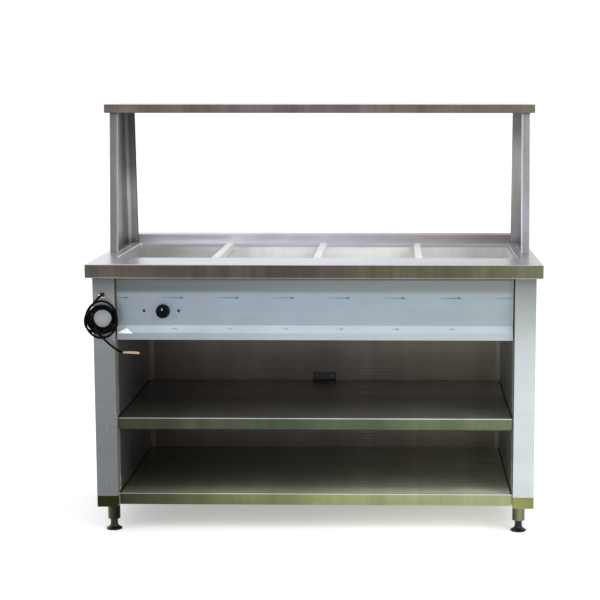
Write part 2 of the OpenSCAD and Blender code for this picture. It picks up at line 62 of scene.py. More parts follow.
class Shader:
    """A node material with short calls for what the materials here share."""

    def __init__(self, name):
        self.material = bpy.data.materials.new(name)
        self.material.use_nodes = True
        self.tree = self.material.node_tree
        self.principled = self.tree.nodes["Principled BSDF"]
        self.place = self.node("ShaderNodeTexCoord").outputs["Object"]

    def node(self, kind, **settings):
        made = self.tree.nodes.new(kind)
        for key, value in settings.items():
            setattr(made, key, value)
        return made

    def link(self, source, target):
        self.tree.links.new(source, target)

    def set(self, **values):
        for key, value in values.items():
            self.principled.inputs[key.replace("_", " ")].default_value = value

    def axis(self, letter):
        split = self.node("ShaderNodeSeparateXYZ")
        self.link(self.place, split.inputs[0])
        return split.outputs[letter]

    def spread(self, value, low, high, to_low=0.0, to_high=1.0):
        made = self.node("ShaderNodeMapRange")
        self.link(value, made.inputs["Value"])
        made.inputs["From Min"].default_value = low
        made.inputs["From Max"].default_value = high
        made.inputs["To Min"].default_value = to_low
        made.inputs["To Max"].default_value = to_high
        return made.outputs["Result"]

    def ramp(self, value, stops):
        made = self.node("ShaderNodeValToRGB")
        self.link(value, made.inputs["Fac"])
        made.color_ramp.elements[0].position = stops[0][0]
        made.color_ramp.elements[0].color = (*stops[0][1], 1)
        made.color_ramp.elements[1].position = stops[-1][0]
        made.color_ramp.elements[1].color = (*stops[-1][1], 1)
        for position, colour in stops[1:-1]:
            made.color_ramp.elements.new(position).color = (*colour, 1)
        return made.outputs["Color"]

    def noise(self, scale, detail=3.0, size=1.0, rough=0.55):
        """Noise whose features are 1/scale metres long along each axis."""
        mapping = self.node("ShaderNodeMapping")
        self.link(self.place, mapping.inputs["Vector"])
        mapping.inputs["Scale"].default_value = scale
        made = self.node("ShaderNodeTexNoise")
        self.link(mapping.outputs[0], made.inputs["Vector"])
        made.inputs["Scale"].default_value = size
        made.inputs["Detail"].default_value = detail
        made.inputs["Roughness"].default_value = rough
        return made.outputs["Fac"]

    def math(self, operation, a, b):
        made = self.node("ShaderNodeMath", operation=operation)
        for socket, value in zip(made.inputs, (a, b)):
            if isinstance(value, (int, float)):
                socket.default_value = value
            else:
                self.link(value, socket)
        return made.outputs[0]

    def mix(self, factor, a, b, blend="MIX"):
        made = self.node("ShaderNodeMix", data_type="RGBA", blend_type=blend)
        for socket, value in zip((made.inputs[0], made.inputs[6], made.inputs[7]), (factor, a, b)):
            if isinstance(value, (int, float)):
                socket.default_value = value
            elif isinstance(value, tuple):
                socket.default_value = (*value, 1)
            else:
                self.link(value, socket)
        return made.outputs[2]

    def shade(self, colour, factor):
        """Multiply a colour by a number that varies over the surface."""
        grey = self.node("ShaderNodeCombineXYZ")
        for socket in grey.inputs:
            self.link(factor, socket)
        return self.mix(1.0, colour, grey.outputs[0], "MULTIPLY")

    def colour(self, source):
        self.link(source, self.principled.inputs["Base Color"])

    def roughness(self, source):
        self.link(source, self.principled.inputs["Roughness"])

    def bump(self, height, depth, strength=1.0):
        made = self.node("ShaderNodeBump")
        made.inputs["Strength"].default_value = strength
        made.inputs["Distance"].default_value = depth
        self.link(height, made.inputs["Height"])
        self.link(made.outputs[0], self.principled.inputs["Normal"])


GRAIN = {"X": (3, 420, 420), "Y": (420, 3, 420), "Z": (420, 420, 3)}
BANDS = {"X": (1.2, 26, 26), "Y": (26, 1.2, 26), "Z": (26, 26, 1.2)}


def across(shader, colours, half=0.68):
    """Colour that changes from the left end to the right end; colours are sRGB from 0 to 255."""
    # Where the colours differ, the change from end to end is painted light: painted reflections and painted
    # shade.
    place = shader.spread(shader.axis("X"), -half, half)
    last = len(colours) - 1
    return shader.ramp(place, [(i / last, tone(*c)) for i, c in enumerate(colours)])


def grey_stops(shader, letter, stops):
    """A factor that follows (place, factor) stops along an axis, in metres."""
    low, high = stops[0][0], stops[-1][0]
    top = max(f for _, f in stops)
    place = shader.spread(shader.axis(letter), low, high)
    ramp = shader.ramp(place, [((p - low) / (high - low), (f / top,) * 3) for p, f in stops])
    return shader.math("MULTIPLY", ramp, top)


def steel(name, colours, grain="X", rough=0.30, fine=0.05, band=0.06, cloud=0.12, metal=1.0,
          streak=0.0, relief=0.5, along_x=None, along_y=None, along_z=None):
    """Brushed steel: fine grain, wider bands along the grain, and cloudy smudges.

    streak is the depth of painted upright reflections; along_x, along_y and along_z are
    stops of painted light and shade, as (place, factor)."""
    shader = Shader(name)
    base = across(shader, colours)
    grain_tex = shader.noise(GRAIN[grain], detail=4)
    band_tex = shader.noise(BANDS[grain], detail=2)
    cloud_tex = shader.noise((5, 5, 5), detail=2)
    factor = shader.spread(grain_tex, 0.3, 0.7, 1 - fine, 1 + fine)
    factor = shader.math("MULTIPLY", factor, shader.spread(band_tex, 0.3, 0.7, 1 - band, 1 + band))
    factor = shader.math("MULTIPLY", factor, shader.spread(cloud_tex, 0.3, 0.7, 1 - cloud, 1 + cloud))
    if streak:
        wide = shader.noise((11, 0.4, 0.4), detail=1.5)
        thin = shader.noise((55, 0.4, 0.4), detail=1)
        wide = shader.spread(wide, 0.36, 0.64, 1 - streak, 1 + streak)
        thin = shader.spread(thin, 0.36, 0.64, 1 - streak / 2, 1 + streak / 2)
        factor = shader.math("MULTIPLY", factor, shader.math("MULTIPLY", wide, thin))
    for letter, stops in (("X", along_x), ("Y", along_y), ("Z", along_z)):
        if stops:
            factor = shader.math("MULTIPLY", factor, grey_stops(shader, letter, stops))
    shader.colour(shader.shade(base, factor))
    shader.set(Metallic=metal)
    shader.roughness(shader.spread(grain_tex, 0.25, 0.75, rough - 0.07, rough + 0.09))
    shader.bump(grain_tex, 0.00004, relief)
    return shader.material


def plastic(name, colour, rough=0.35, grain=900, shine=0.5):
    """Moulded plastic or rubber with a fine surface texture."""
    shader = Shader(name)
    colour = tone(*colour)
    speck = shader.noise((grain, grain, grain), detail=2)
    cloud = shader.noise((30, 30, 30), detail=3)
    factor = shader.spread(cloud, 0.3, 0.7, 0.88, 1.12)
    shader.colour(shader.shade(shader.ramp(cloud, [(0, colour), (1, colour)]), factor))
    shader.roughness(shader.spread(cloud, 0.3, 0.7, rough - 0.05, rough + 0.07))
    shader.set(Specular_IOR_Level=shine)
    shader.bump(speck, 0.00003, 0.6)
    return shader.material


def film_material(name, bands, shine=0.4):
    """Thin protective film on steel; bands are (height, (left, middle, right)) from low to high."""
    shader = Shader(name)
    low, high = bands[0][0], bands[-1][0]
    height = shader.spread(shader.axis("Z"), low, high)
    colour = across(shader, bands[0][1])
    for (z0, _), (z1, colours) in zip(bands, bands[1:]):
        step = shader.spread(height, (z0 - low) / (high - low), (z1 - low) / (high - low))
        colour = shader.mix(step, colour, across(shader, colours))
    cloud = shader.noise((9, 9, 9), detail=4)
    streak = shader.noise((2, 60, 60), detail=2)
    factor = shader.spread(cloud, 0.3, 0.7, 0.95, 1.05)
    factor = shader.math("MULTIPLY", factor, shader.spread(streak, 0.3, 0.7, 0.97, 1.03))
    shader.colour(shader.shade(colour, factor))
    shader.set(Metallic=shine, Coat_Weight=0.35, Coat_Roughness=0.15)
    shader.roughness(shader.spread(cloud, 0.3, 0.7, 0.26, 0.40))
    shader.bump(shader.noise((18, 18, 30), detail=2), 0.0005, 0.3)
    return shader.material


# ---------- mesh helpers ----------

def finish_mesh(name, bm, materials, body=ROOT, slot=None, replaces=(), sharp=32):
    """Turn a bmesh into a piece that rides on a body."""
    bmesh.ops.recalc_face_normals(bm, faces=bm.faces)
    for face in bm.faces:
        face.smooth = True
    for edge in bm.edges:
        if len(edge.link_faces) == 2 and edge.calc_face_angle(0) > math.radians(sharp):
            edge.smooth = False
    mesh = bpy.data.meshes.new(name)
    bm.to_mesh(mesh)
    bm.free()
    piece = bpy.data.objects.new(name, mesh)
    bpy.context.scene.collection.objects.link(piece)
    for material in materials if isinstance(materials, (list, tuple)) else [materials]:
        mesh.materials.append(material)
    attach(piece, body)
    if replaces:
        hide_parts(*replaces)
    return piece


def weighted(piece):
    """Keep wide flat faces flat beside rounded edges."""
    piece.modifiers.new("weighted", "WEIGHTED_NORMAL").keep_sharp = True
    return piece


def rounded_line(points, radius, steps=4):
    """An open line whose inner corners are replaced by arcs of a radius."""
    points = [Vector(p) for p in points]
    line = [points[0]]
    for before, corner, after in zip(points, points[1:], points[2:]):
        a = (before - corner).normalized()
        b = (after - corner).normalized()
        half = a.angle(b) / 2
        reach = min(radius / math.tan(half), 0.45 * (before - corner).length,
                    0.45 * (after - corner).length)
        for k in range(steps + 1):
            t = k / steps
            start, end = corner + a * reach, corner + b * reach
            line.append(start * (1 - t) ** 2 + corner * 2 * t * (1 - t) + end * t ** 2)
    line.append(points[-1])
    return line


def sheet_outline(points, thickness, radius=3 * MM, steps=4):
    """Closed outline of a folded sheet; points run along its outer face, thick on the left."""
    outer = rounded_line(points, radius, steps)
    inner = []
    for i, point in enumerate(outer):
        before = outer[max(i - 1, 0)]
        after = outer[min(i + 1, len(outer) - 1)]
        along = (after - before).normalized()
        inner.append(point + Vector((-along.y, along.x)) * thickness)
    return outer + inner[::-1]


def bridge(bm, rings):
    """Quads between neighbouring rings of vertices."""
    for low, high in zip(rings, rings[1:]):
        for i in range(len(low)):
            j = (i + 1) % len(low)
            bm.faces.new((low[i], low[j], high[j], high[i]))


def bevelled_box(name, middle, size, bevel, material, segments=2, taper=1.0, **options):
    """A box with rounded edges; taper narrows its front face."""
    bm = bmesh.new()
    bmesh.ops.create_cube(bm, size=1)
    for v in bm.verts:
        narrow = taper if v.co.y < 0 else 1.0
        v.co = Vector((middle[0] + v.co.x * size[0] * narrow, middle[1] + v.co.y * size[1],
                       middle[2] + v.co.z * size[2]))
    bmesh.ops.bevel(bm, geom=bm.edges, offset=bevel, segments=segments, affect="EDGES")
    return finish_mesh(name, bm, material, **options)


def lofted(name, sections, materials, **options):
    """A closed solid through sections that all have the same number of points."""
    bm = bmesh.new()
    rings = [[bm.verts.new(p) for p in section] for section in sections]
    bridge(bm, rings)
    count = len(rings[0])
    half = count // 2
    for ring in (rings[0], rings[-1]):
        for i in range(half - 1):
            bm.faces.new((ring[i], ring[i + 1], ring[count - 2 - i], ring[count - 1 - i]))
    return finish_mesh(name, bm, materials, **options)


def folded_along_x(name, points, x0, x1, materials, cuts=24, radius=3 * MM, **options):
    outline = sheet_outline(points, SHEET, radius)
    xs = [x0 + (x1 - x0) * k / cuts for k in range(cuts + 1)]
    return lofted(name, [[(x, p.x, p.y) for p in outline] for x in xs], materials, **options)


def rounded_rect(x0, x1, y0, y1, radius, steps=5):
    """Points round a rectangle with rounded corners."""
    centres = [(x1 - radius, y1 - radius), (x0 + radius, y1 - radius),
               (x0 + radius, y0 + radius), (x1 - radius, y0 + radius)]
    points = []
    for quarter, (cx, cy) in enumerate(centres):
        for k in range(steps + 1):
            angle = math.pi / 2 * (quarter + k / steps)
            points.append((cx + radius * math.cos(angle), cy + radius * math.sin(angle)))
    return points


def looped(name, loops, materials, closed, paint, **options):
    """A skin through rounded rectangles; each loop is (x0, x1, y0, y1, z, corner radius).

    paint gives the number of a face's material."""
    bm = bmesh.new()
    rings = []
    for x0, x1, y0, y1, z, radius in loops:
        rings.append([bm.verts.new((x, y, z)) for x, y in rounded_rect(x0, x1, y0, y1, radius)])
    bridge(bm, rings + rings[:1] if closed else rings)
    if not closed:
        bm.faces.new(rings[0])
        bm.faces.new(rings[-1])
    bm.normal_update()
    bmesh.ops.recalc_face_normals(bm, faces=bm.faces)
    for face in bm.faces:
        face.material_index = paint(face)
    return finish_mesh(name, bm, materials, **options)


def inset(rect, amount, z, radius):
    x0, x1, y0, y1 = rect
    return (x0 + amount, x1 - amount, y0 + amount, y1 - amount, z, radius)


def bend(rect, amount0, z0, amount1, z1, corner, radius, outwards=True, steps=4):
    """Loops of a quarter-round fold between two insets of a rectangle."""
    loops = []
    for k in range(steps + 1):
        angle = math.pi / 2 * k / steps
        s, c = math.sin(angle), math.cos(angle)
        a = amount0 + (amount1 - amount0) * (1 - c if outwards else s)
        z = z0 + (z1 - z0) * (s if outwards else 1 - c)
        loops.append(inset(rect, a, z, corner + radius - a if corner else radius))
    return loops


def turned(name, profile, place, axis, materials, flutes=None, steps=64, **options):
    """A solid of revolution; profile is (radius, height) in mm and axis is where its top points."""
    turn = Vector((0, 0, 1)).rotation_difference(Vector(axis)).to_matrix().to_4x4()
    matrix = Matrix.Translation(Vector(place)) @ turn
    bm = bmesh.new()
    rings = []
    for radius, height in profile:
        ring = []
        for k in range(steps):
            angle = 2 * math.pi * k / steps
            r = radius * MM * (flutes(angle, height) if flutes else 1)
            point = Vector((r * math.cos(angle), r * math.sin(angle), height * MM))
            ring.append(bm.verts.new(matrix @ point))
        rings.append(ring)
    bridge(bm, rings)
    bm.faces.new(rings[0])
    bm.faces.new(rings[-1])
    return finish_mesh(name, bm, materials, **options)


def softened(node, material, width, body=ROOT):
    """The CAD node's own shape with small rounded edges."""
    bm = bmesh.new()
    bm.from_mesh(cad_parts[node].data)
    bmesh.ops.remove_doubles(bm, verts=bm.verts, dist=1e-6)
    bmesh.ops.dissolve_limit(bm, angle_limit=math.radians(1), verts=bm.verts, edges=bm.edges)
    sharp = math.radians(28)
    edges = [e for e in bm.edges if len(e.link_faces) == 2 and e.calc_face_angle(0) > sharp]
    bmesh.ops.bevel(bm, geom=edges, offset=width, segments=2, profile=0.6,
                    affect="EDGES", clamp_overlap=True)
    return finish_mesh(node + "_detail", bm, material, body=body, replaces=(node,))


# ---------- palette ----------

# Stops of painted light and shade along an axis, as (place in metres, factor). SHELF_Y: painted reflections on
# the upper shelf's top, lighter at the front edge and in a band towards the rear.
SHELF_Y = [(-0.345, 1.35), (-0.30, 1.1), (-0.15, 0.85), (0.02, 0.8), (0.09, 1.5), (0.25, 1.45), (0.30, 1.1),
           (0.354, 1.0)]
# FLOOR_Y: a painted reflection that lightens the front of the bottom shelf's top.
FLOOR_Y = [(-0.345, 3.6), (-0.31, 2.6), (-0.24, 1.3), (-0.18, 1.0), (0.354, 1.0)]
# LEFT_Z and WEB_Z: painted shade at the foot and towards the top of the left upright's rear flange and web.
LEFT_Z = [(0.905, 0.30), (0.945, 1.0), (1.10, 1.0), (1.20, 0.40), (1.42, 0.20)]
WEB_Z = [(0.905, 0.35), (0.945, 1.0), (1.10, 0.9), (1.22, 0.6), (1.42, 0.5)]
# REAR_X: a painted highlight near the outer corner of the left upright's rear flange, with painted shade at its
# ends.
REAR_X = [(-0.735, 0.6), (-0.731, 2.0), (-0.724, 1.9), (-0.718, 0.9), (-0.700, 1.0), (-0.697, 0.5)]
# FACE_X: a painted highlight along the inner edge of each upright's front face.
FACE_X = [(-0.735, 0.95), (-0.720, 1.0), (-0.7105, 0.9), (-0.7095, 2.0), (0.7095, 2.0), (0.7105, 0.9),
          (0.735, 1.0)]
# RIGHT_Z: painted shade at the foot and towards the top of the right upright's rear flange and web.
RIGHT_Z = [(0.905, 0.6), (0.94, 1.0), (1.22, 1.0), (1.33, 0.46), (1.42, 0.40)]
# FACE_Z: painted shade that darkens the uprights' front faces towards the top.
FACE_Z = [(0.905, 1.1), (1.20, 1.0), (1.34, 0.85), (1.42, 0.62)]
# WEB_Y: a painted reflection streak across the left upright's web, with painted shade at front and rear.
WEB_Y = [(-0.015, 0.4), (0.06, 0.5), (0.14, 0.8), (0.20, 1.5), (0.25, 0.7), (0.372, 0.45)]


def greys(*values):
    return [(v, v - 1, v - 2) for v in values]


M = {
    # deck: painted sky reflection, darker towards the right end
    "deck": steel("deck_steel", [(226, 225, 231), (222, 223, 229), (192, 191, 192)], fine=0.04,
                  band=0.05, cloud=0.05),
    # nosing: painted reflection of dark surroundings, with painted upright streaks
    "nosing": steel("nosing_steel", [(90, 83, 78), (76, 71, 67), (81, 73, 68), (88, 87, 68),
                                     (110, 110, 89)],
                    rough=0.26, fine=0.06, cloud=0.05, streak=0.16),
    # bottom fold of the nosing: a painted highlight, a lighter copy of the nosing steel
    "nosing_highlight": steel("nosing_highlight_steel", greys(150, 140, 150, 170), rough=0.26, fine=0.06,
                         streak=0.12, band=0.16),
    # upstand: painted sky reflection, darker towards the right end
    "upstand": steel("upstand_steel", [(226, 222, 229), (212, 208, 216), (164, 152, 158)]),
    # overshelf front: painted dark reflection with painted upright streaks
    "overshelf": steel("overshelf_steel", [(102, 92, 87), (102, 96, 96), (109, 104, 92)], fine=0.08,
                       band=0.08, streak=0.12),
    # overshelf top: the lit copy of the overshelf steel, a painted sky reflection
    "overshelf_lit_top": steel("overshelf_lit_top_steel", greys(215, 225, 228)),
    # front faces of the uprights: painted shade at the left end, a painted highlight at the inner edge, darker
    # towards the top
    "upright": steel("upright_steel", [(122, 120, 119), (140, 139, 139), (160, 158, 163)], grain="Z",
                     band=0.10, cloud=0.16, streak=0.10, along_x=FACE_X, along_z=FACE_Z),
    # rear flanges and webs of the uprights: the left copies are painted in shade and the right copies lit, with
    # painted streaks and painted shade from their stops
    "web_left": steel("web_left_steel", greys(116, 116), grain="Z", rough=0.34, band=0.16, metal=0.6,
                      along_y=WEB_Y, along_z=WEB_Z),
    "web_right": steel("web_right_steel", greys(190, 190), grain="Z", rough=0.34, fine=0.07, band=0.1,
                       metal=0.6, along_z=RIGHT_Z),
    "rear_left": steel("rear_left_steel", greys(196, 196), grain="Z", rough=0.34, band=0.10, metal=0.5,
                       along_x=REAR_X, along_z=LEFT_Z),
    "rear_right": steel("rear_right_steel", greys(205, 205), grain="Z", rough=0.34, fine=0.07,
                        band=0.12, metal=0.6, along_z=RIGHT_Z),
    # rounded front folds of the uprights: a painted highlight
    "fold": steel("fold_steel", greys(205, 225), grain="Z", rough=0.2, band=0.16),
    # posts, apron and side panels: darker towards the left end, as painted shade
    "panel": steel("panel_steel", [(128, 128, 126), (150, 152, 150), (176, 178, 172)], grain="Z",
                   rough=0.32, fine=0.06, band=0.08),
    # bare steel at the foot of the front posts: darker towards the left end, as painted shade
    "bare": steel("bare_steel", [(37, 40, 21), (90, 92, 60), (131, 133, 81)], grain="Z", rough=0.25,
                  fine=0.06, band=0.08),
    # inner returns of the posts: lighter than the faces, as a painted reflection
    "return": steel("return_steel", [(186, 186, 168), (170, 170, 156), (160, 160, 140)], grain="Z",
                    fine=0.06, band=0.1, metal=0.6),
    # back panel, stiffeners and cover under the tank: painted reflections and shade, darker towards the left and
    # banded in height
    "back": steel("back_steel", [(82, 73, 68), (96, 88, 81), (134, 128, 114)], metal=0.5, streak=0.08,
                  along_z=[(0.132, 0.85), (0.34, 1.1), (0.39, 1.0), (0.45, 1.05), (0.46, 0.95),
                           (0.652, 1.0)]),
    # side liners and corner angles: darker towards the left end, as painted shade
    "liner": steel("liner_steel", [(104, 102, 100), (110, 108, 106), (130, 131, 126)], grain="Z",
                   fine=0.06, band=0.08, metal=0.5),
    "angle": steel("angle_steel", [(112, 108, 103), (112, 108, 103), (150, 146, 134)], grain="Z",
                   fine=0.06, band=0.08, metal=0.5),
    # shelf tops: painted reflections, darker towards the left end and banded from front to back
    "shelf_top": steel("shelf_top_steel", [(78, 77, 71), (112, 110, 108), (140, 138, 131)], fine=0.02,
                       band=0.02, metal=0.5, streak=0.06, relief=0.1, along_y=SHELF_Y),
    "floor_top": steel("floor_top_steel", [(94, 94, 76), (138, 138, 122), (186, 190, 166)], fine=0.02,
                       band=0.02, metal=0.5, streak=0.06, relief=0.1, along_y=FLOOR_Y),
    # shelf front edges: painted reflection, darker towards the left end, with painted upright streaks
    "shelf_edge": steel("shelf_edge_steel", [(57, 57, 47), (66, 72, 60), (80, 90, 68), (104, 114, 84)],
                        rough=0.24, streak=0.10),
    "floor_edge": steel("floor_edge_steel", [(48, 53, 38), (92, 99, 68), (133, 140, 96),
                                              (142, 149, 106), (151, 157, 116)],
                        rough=0.24, streak=0.08),
    # front fold of the shelves: a painted highlight
    "shelf_bend_highlight": steel("shelf_bend_highlight_steel", greys(140, 196, 214), rough=0.24, band=0.16),
    # well: painted shade, darker towards the ends and most at the left end
    "well": steel("well_steel", greys(176, 206, 244, 250, 250, 244, 226), rough=0.34, fine=0.04,
                  band=0.05, metal=0.12, streak=0.05),
    "bar": steel("bar_steel", greys(240, 244, 240), grain="Y", fine=0.03, band=0.04, cloud=0.05,
                 metal=0.6),
    # rear bracket: steel painted near black, as painted shade at the back of the cabinet
    "bracket": steel("bracket_steel", greys(34, 34), rough=0.4, metal=0.5, band=0.16),
    "element": steel("element_steel", greys(120, 120), rough=0.42, fine=0.08, band=0.16),
    "fastener": steel("fastener_steel", greys(170, 170), rough=0.25, fine=0.10, band=0.16),
    "brass": steel("brass_metal", [(214, 176, 104)] * 2, fine=0.10, band=0.16),
    "copper": steel("copper_metal", [(200, 132, 92)] * 2, rough=0.35, fine=0.10, band=0.16),
    "bezel": steel("bezel_metal", [(196, 184, 182)] * 2, rough=0.20, fine=0.03, band=0.16),
    "black": plastic("black_plastic", (14, 14, 15), rough=0.38, shine=0.25),
    "gloss": plastic("gloss_plastic", (5, 5, 9), rough=0.14, shine=0.06),
    "rubber": plastic("cord_rubber", (4, 4, 5), rough=0.28, grain=700, shine=0.05),
    "foot": plastic("foot_plastic", (11, 11, 12), rough=0.3, shine=0.35),
    "white": plastic("white_plastic", (226, 224, 214), rough=0.4),
    "red": plastic("red_sleeve", (168, 38, 30), rough=0.35),
    "lens": plastic("lens_plastic", (38, 14, 12), rough=0.12, shine=0.35),
    "wiring": plastic("wiring_rubber", (52, 46, 44), rough=0.5),
    "core": plastic("core_plastic", (192, 168, 128), rough=0.45),
    "print": plastic("film_print_ink", (62, 108, 130), rough=0.35, shine=0.1),
    # lower row of arrows on the kick-out: ink lightened as a painted highlight
    "print_lit": plastic("film_print_lit_ink", (136, 152, 172), rough=0.35, shine=0.1),
    # creased film flaps: near white, a painted highlight
    "film_flap_highlight": plastic("film_flap_highlight", (246, 249, 251), rough=0.4, shine=0.3),
    # black strip in the shelves' side slots: painted shade of the slots
    "slot_shade": plastic("joint_slot_shade", (14, 14, 14), rough=0.5, shine=0.2),
}


def tube_shade():
    """Polished leg tube: light from the side, as stops across each leg."""
    shader = Shader("leg_tube_steel")
    grain = shader.noise(GRAIN["Z"], detail=4)
    edges = []
    for middle, values in ((-0.684, (112, 80, 52, 44, 24, 12)), (0.684, (30, 82, 116, 132, 112, 84))):
        for k, v in enumerate(values):
            edges.append((middle - 0.021 + 0.042 * k / 5, tone(v, v, 0.76 * v)))
    low, high = edges[0][0], edges[-1][0]
    place = shader.spread(shader.axis("X"), low, high)
    colour = shader.ramp(place, [((p - low) / (high - low), c) for p, c in edges])
    shader.colour(shader.shade(colour, shader.spread(grain, 0.3, 0.7, 0.94, 1.06)))
    shader.set(Metallic=1.0)
    shader.roughness(shader.spread(grain, 0.25, 0.75, 0.16, 0.30))
    shader.bump(grain, 0.00004, 0.4)
    return shader.material


M["leg"] = tube_shade()


# ---------- camera, light and stage ----------

def make_camera():
    data = bpy.data.cameras.new("camera")
    camera = bpy.data.objects.new("camera", data)
    bpy.context.scene.collection.objects.link(camera)
    camera.location = (0.2745, -5.5308, 1.4806)
    camera.rotation_euler = (math.radians(90 - 7.904), 0, math.radians(1.041))
    data.lens = 95.1
    data.shift_x = -0.115
    data.shift_y = 0.0136
    data.clip_end = 100
    bpy.context.scene.camera = camera


def make_stage():
    bm = bmesh.new()
    bmesh.ops.create_grid(bm, x_segments=8, y_segments=8, size=30)
    mesh = bpy.data.meshes.new("floor")
    bm.to_mesh(mesh)
    bm.free()
    floor = bpy.data.objects.new("floor", mesh)
    bpy.context.scene.collection.objects.link(floor)
    shader = Shader("floor_paint")
    cloud = shader.noise((0.8, 0.8, 0.8), detail=2)
    shader.colour(shader.ramp(cloud, [(0, (0.93, 0.93, 0.93)), (1, (0.95, 0.95, 0.95))]))
    shader.set(Roughness=0.9, Specular_IOR_Level=0.1, Emission_Color=(1, 1, 1, 1), Emission_Strength=0.32)
    mesh.materials.append(shader.material)


def make_light():
    world = bpy.data.worlds.new("studio")
    world.use_nodes = True
    tree = world.node_tree
    place = tree.nodes.new("ShaderNodeTexCoord")
    split = tree.nodes.new("ShaderNodeSeparateXYZ")
    ramp = tree.nodes.new("ShaderNodeValToRGB")
    tree.links.new(place.outputs["Generated"], split.inputs[0])
    tree.links.new(split.outputs["Z"], ramp.inputs["Fac"])
    ramp.color_ramp.elements[0].color = (1.0, 1.0, 1.0, 1)
    ramp.color_ramp.elements[1].color = (0.80, 0.82, 0.85, 1)
    tree.links.new(ramp.outputs["Color"], tree.nodes["Background"].inputs["Color"])
    tree.nodes["Background"].inputs["Strength"].default_value = 1.06
    bpy.context.scene.world = world
    for name, place, size, power in (("key", (3.4, -3.6, 3.8), 2.6, 90), ("fill", (-4.2, -2.8, 2.4), 3.0, 28)):
        data = bpy.data.lights.new(name, "AREA")
        data.size = size
        data.energy = power
        lamp = bpy.data.objects.new(name, data)
        bpy.context.scene.collection.objects.link(lamp)
        lamp.location = place
        aim = Vector((0, 0, 0.7)) - lamp.location
        lamp.rotation_euler = aim.to_track_quat("-Z", "Y").to_euler()
    bpy.context.scene.view_settings.view_transform = "Standard"


# ---------- mains lead ----------

CORD_D = 7.5
GLAND = (-697, -375, 807)
GLAND_LEN = 21
COIL_C = (-697, -387, 728)
LEAD_ROUTE = [
    (-697, -380, 807), (-697, -394, 807), (-701, -409, 804), (-709, -421, 795),
    (-719, -427, 782), (-730, -427, 768), (-740, -422, 753), (-747, -415, 737),
    (-750, -409, 721), (-748, -404, 706), (-741, -399, 694), (-730, -393, 687),
    (-718, -388, 685)]
TAIL_ROUTE = [
    (-709, -382, 685), (-704, -389, 676), (-693, -396, 665), (-677, -398, 650),
    (-660, -396, 635), (-643, -394, 623), (-630, -393, 618)]
WIRE_END = (-574, -392, 616)
COIL_TURNS = 5
# distance of the strand from the coil's middle at the right, top, left and bottom of each turn
COIL_REACH = [(46, 68, 46, 64), (47, 43, 48, 45), (41, 42, 41, 45), (35, 33, 36, 32), (36, 39, 42, 35)]
COIL_DEPTH = [(-395, -397, -399, -393), (-387, -391, -391, -401), (-380, -383, -383, -393),
              (-380, -380, -380, -380), (-388, -391, -399, -385)]


def smooth_route(points, spacing=6.5):
    """Catmull-Rom line through the route's points, evenly spaced."""
    p = np.array(points, float)
    p = np.vstack([2 * p[0] - p[1], p, 2 * p[-1] - p[-2]])
    fine = []
    for i in range(1, len(p) - 2):
        for t in np.linspace(0, 1, 16, endpoint=False):
            a, b, c, d = p[i - 1:i + 3]
            fine.append(0.5 * (2 * b + (c - a) * t + (2 * a - 5 * b + 4 * c - d) * t ** 2
                               + (3 * b - a - 3 * c + d) * t ** 3))
    fine.append(p[-2])
    fine = np.array(fine)
    reach = np.concatenate([[0], np.cumsum(np.linalg.norm(np.diff(fine, axis=0), axis=1))])
    marks = np.linspace(0, reach[-1], max(2, round(reach[-1] / spacing) + 1))
    return np.column_stack([np.interp(marks, reach, fine[:, k]) for k in range(3)])


def coil_turns():
    """The loose turns of the coil, from the end of the lead to the start of the tail."""
    ends = []
    for point in (LEAD_ROUTE[-1], TAIL_ROUTE[0]):
        dx, dz = point[0] - COIL_C[0], point[2] - COIL_C[2]
        ends.append((math.degrees(math.atan2(dz, dx)), math.hypot(dx, dz), point[1]))
    start, end = ends[0][0], ends[1][0] + 360 * COIL_TURNS
    knots = [(start, ends[0][1], ends[0][2])]
    for turn, pair in enumerate(zip(COIL_REACH, COIL_DEPTH)):
        for quarter, (reach, depth) in enumerate(zip(*pair)):
            angle = 360 * turn + 90 * quarter
            if angle < end - 40:
                knots.append((angle, reach, depth))
    knots.append((end, ends[1][1], ends[1][2]))
    angles, reaches, depths = np.array(knots).T
    steps = int((end - start) / 8.5)
    at = np.linspace(start, end, steps + 1)[1:-1]
    blend = np.hanning(11)
    blend /= blend.sum()
    reach, depth = [np.convolve(np.pad(np.interp(at, angles, v), 5, "edge"), blend, "valid")
                    for v in (reaches, depths)]
    turn = np.radians(at)
    return np.column_stack([COIL_C[0] + reach * np.cos(turn), depth, COIL_C[2] + reach * np.sin(turn)])


def settle(points, held, diameter, rounds=500):
    """Push turns of a cord apart until none lies in another, keeping the held points."""
    count = len(points)
    index = np.arange(count)
    apart = np.abs(index[:, None] - index[None]) > 5
    gap = diameter * 1.05
    wall = GLAND[1] - 0.6 - diameter / 2
    for _ in range(rounds):
        between = points[:, None] - points[None]
        distance = np.linalg.norm(between, axis=2) + 1e-9
        short = np.where(apart & (distance < gap), (gap - distance) * 0.5, 0)
        push = (between / distance[..., None] * short[..., None]).sum(axis=1)
        relax = np.zeros_like(points)
        relax[2:-2] = (-points[:-4] + 4 * points[1:-3] + 4 * points[3:-1] - points[4:]) / 6 - points[2:-2]
        move = 0.6 * push + 0.5 * relax
        move[held] = 0
        points = points + move
        points[:, 1] = np.minimum(points[:, 1], wall)
    return points


def cord_line():
    lead = smooth_route(LEAD_ROUTE)
    tail = smooth_route(TAIL_ROUTE)
    points = np.vstack([lead, coil_turns(), tail])
    held = np.zeros(len(points), bool)
    held[:len(lead) - 3] = True
    held[-len(tail) + 3:] = True
    return settle(points, held, CORD_D)


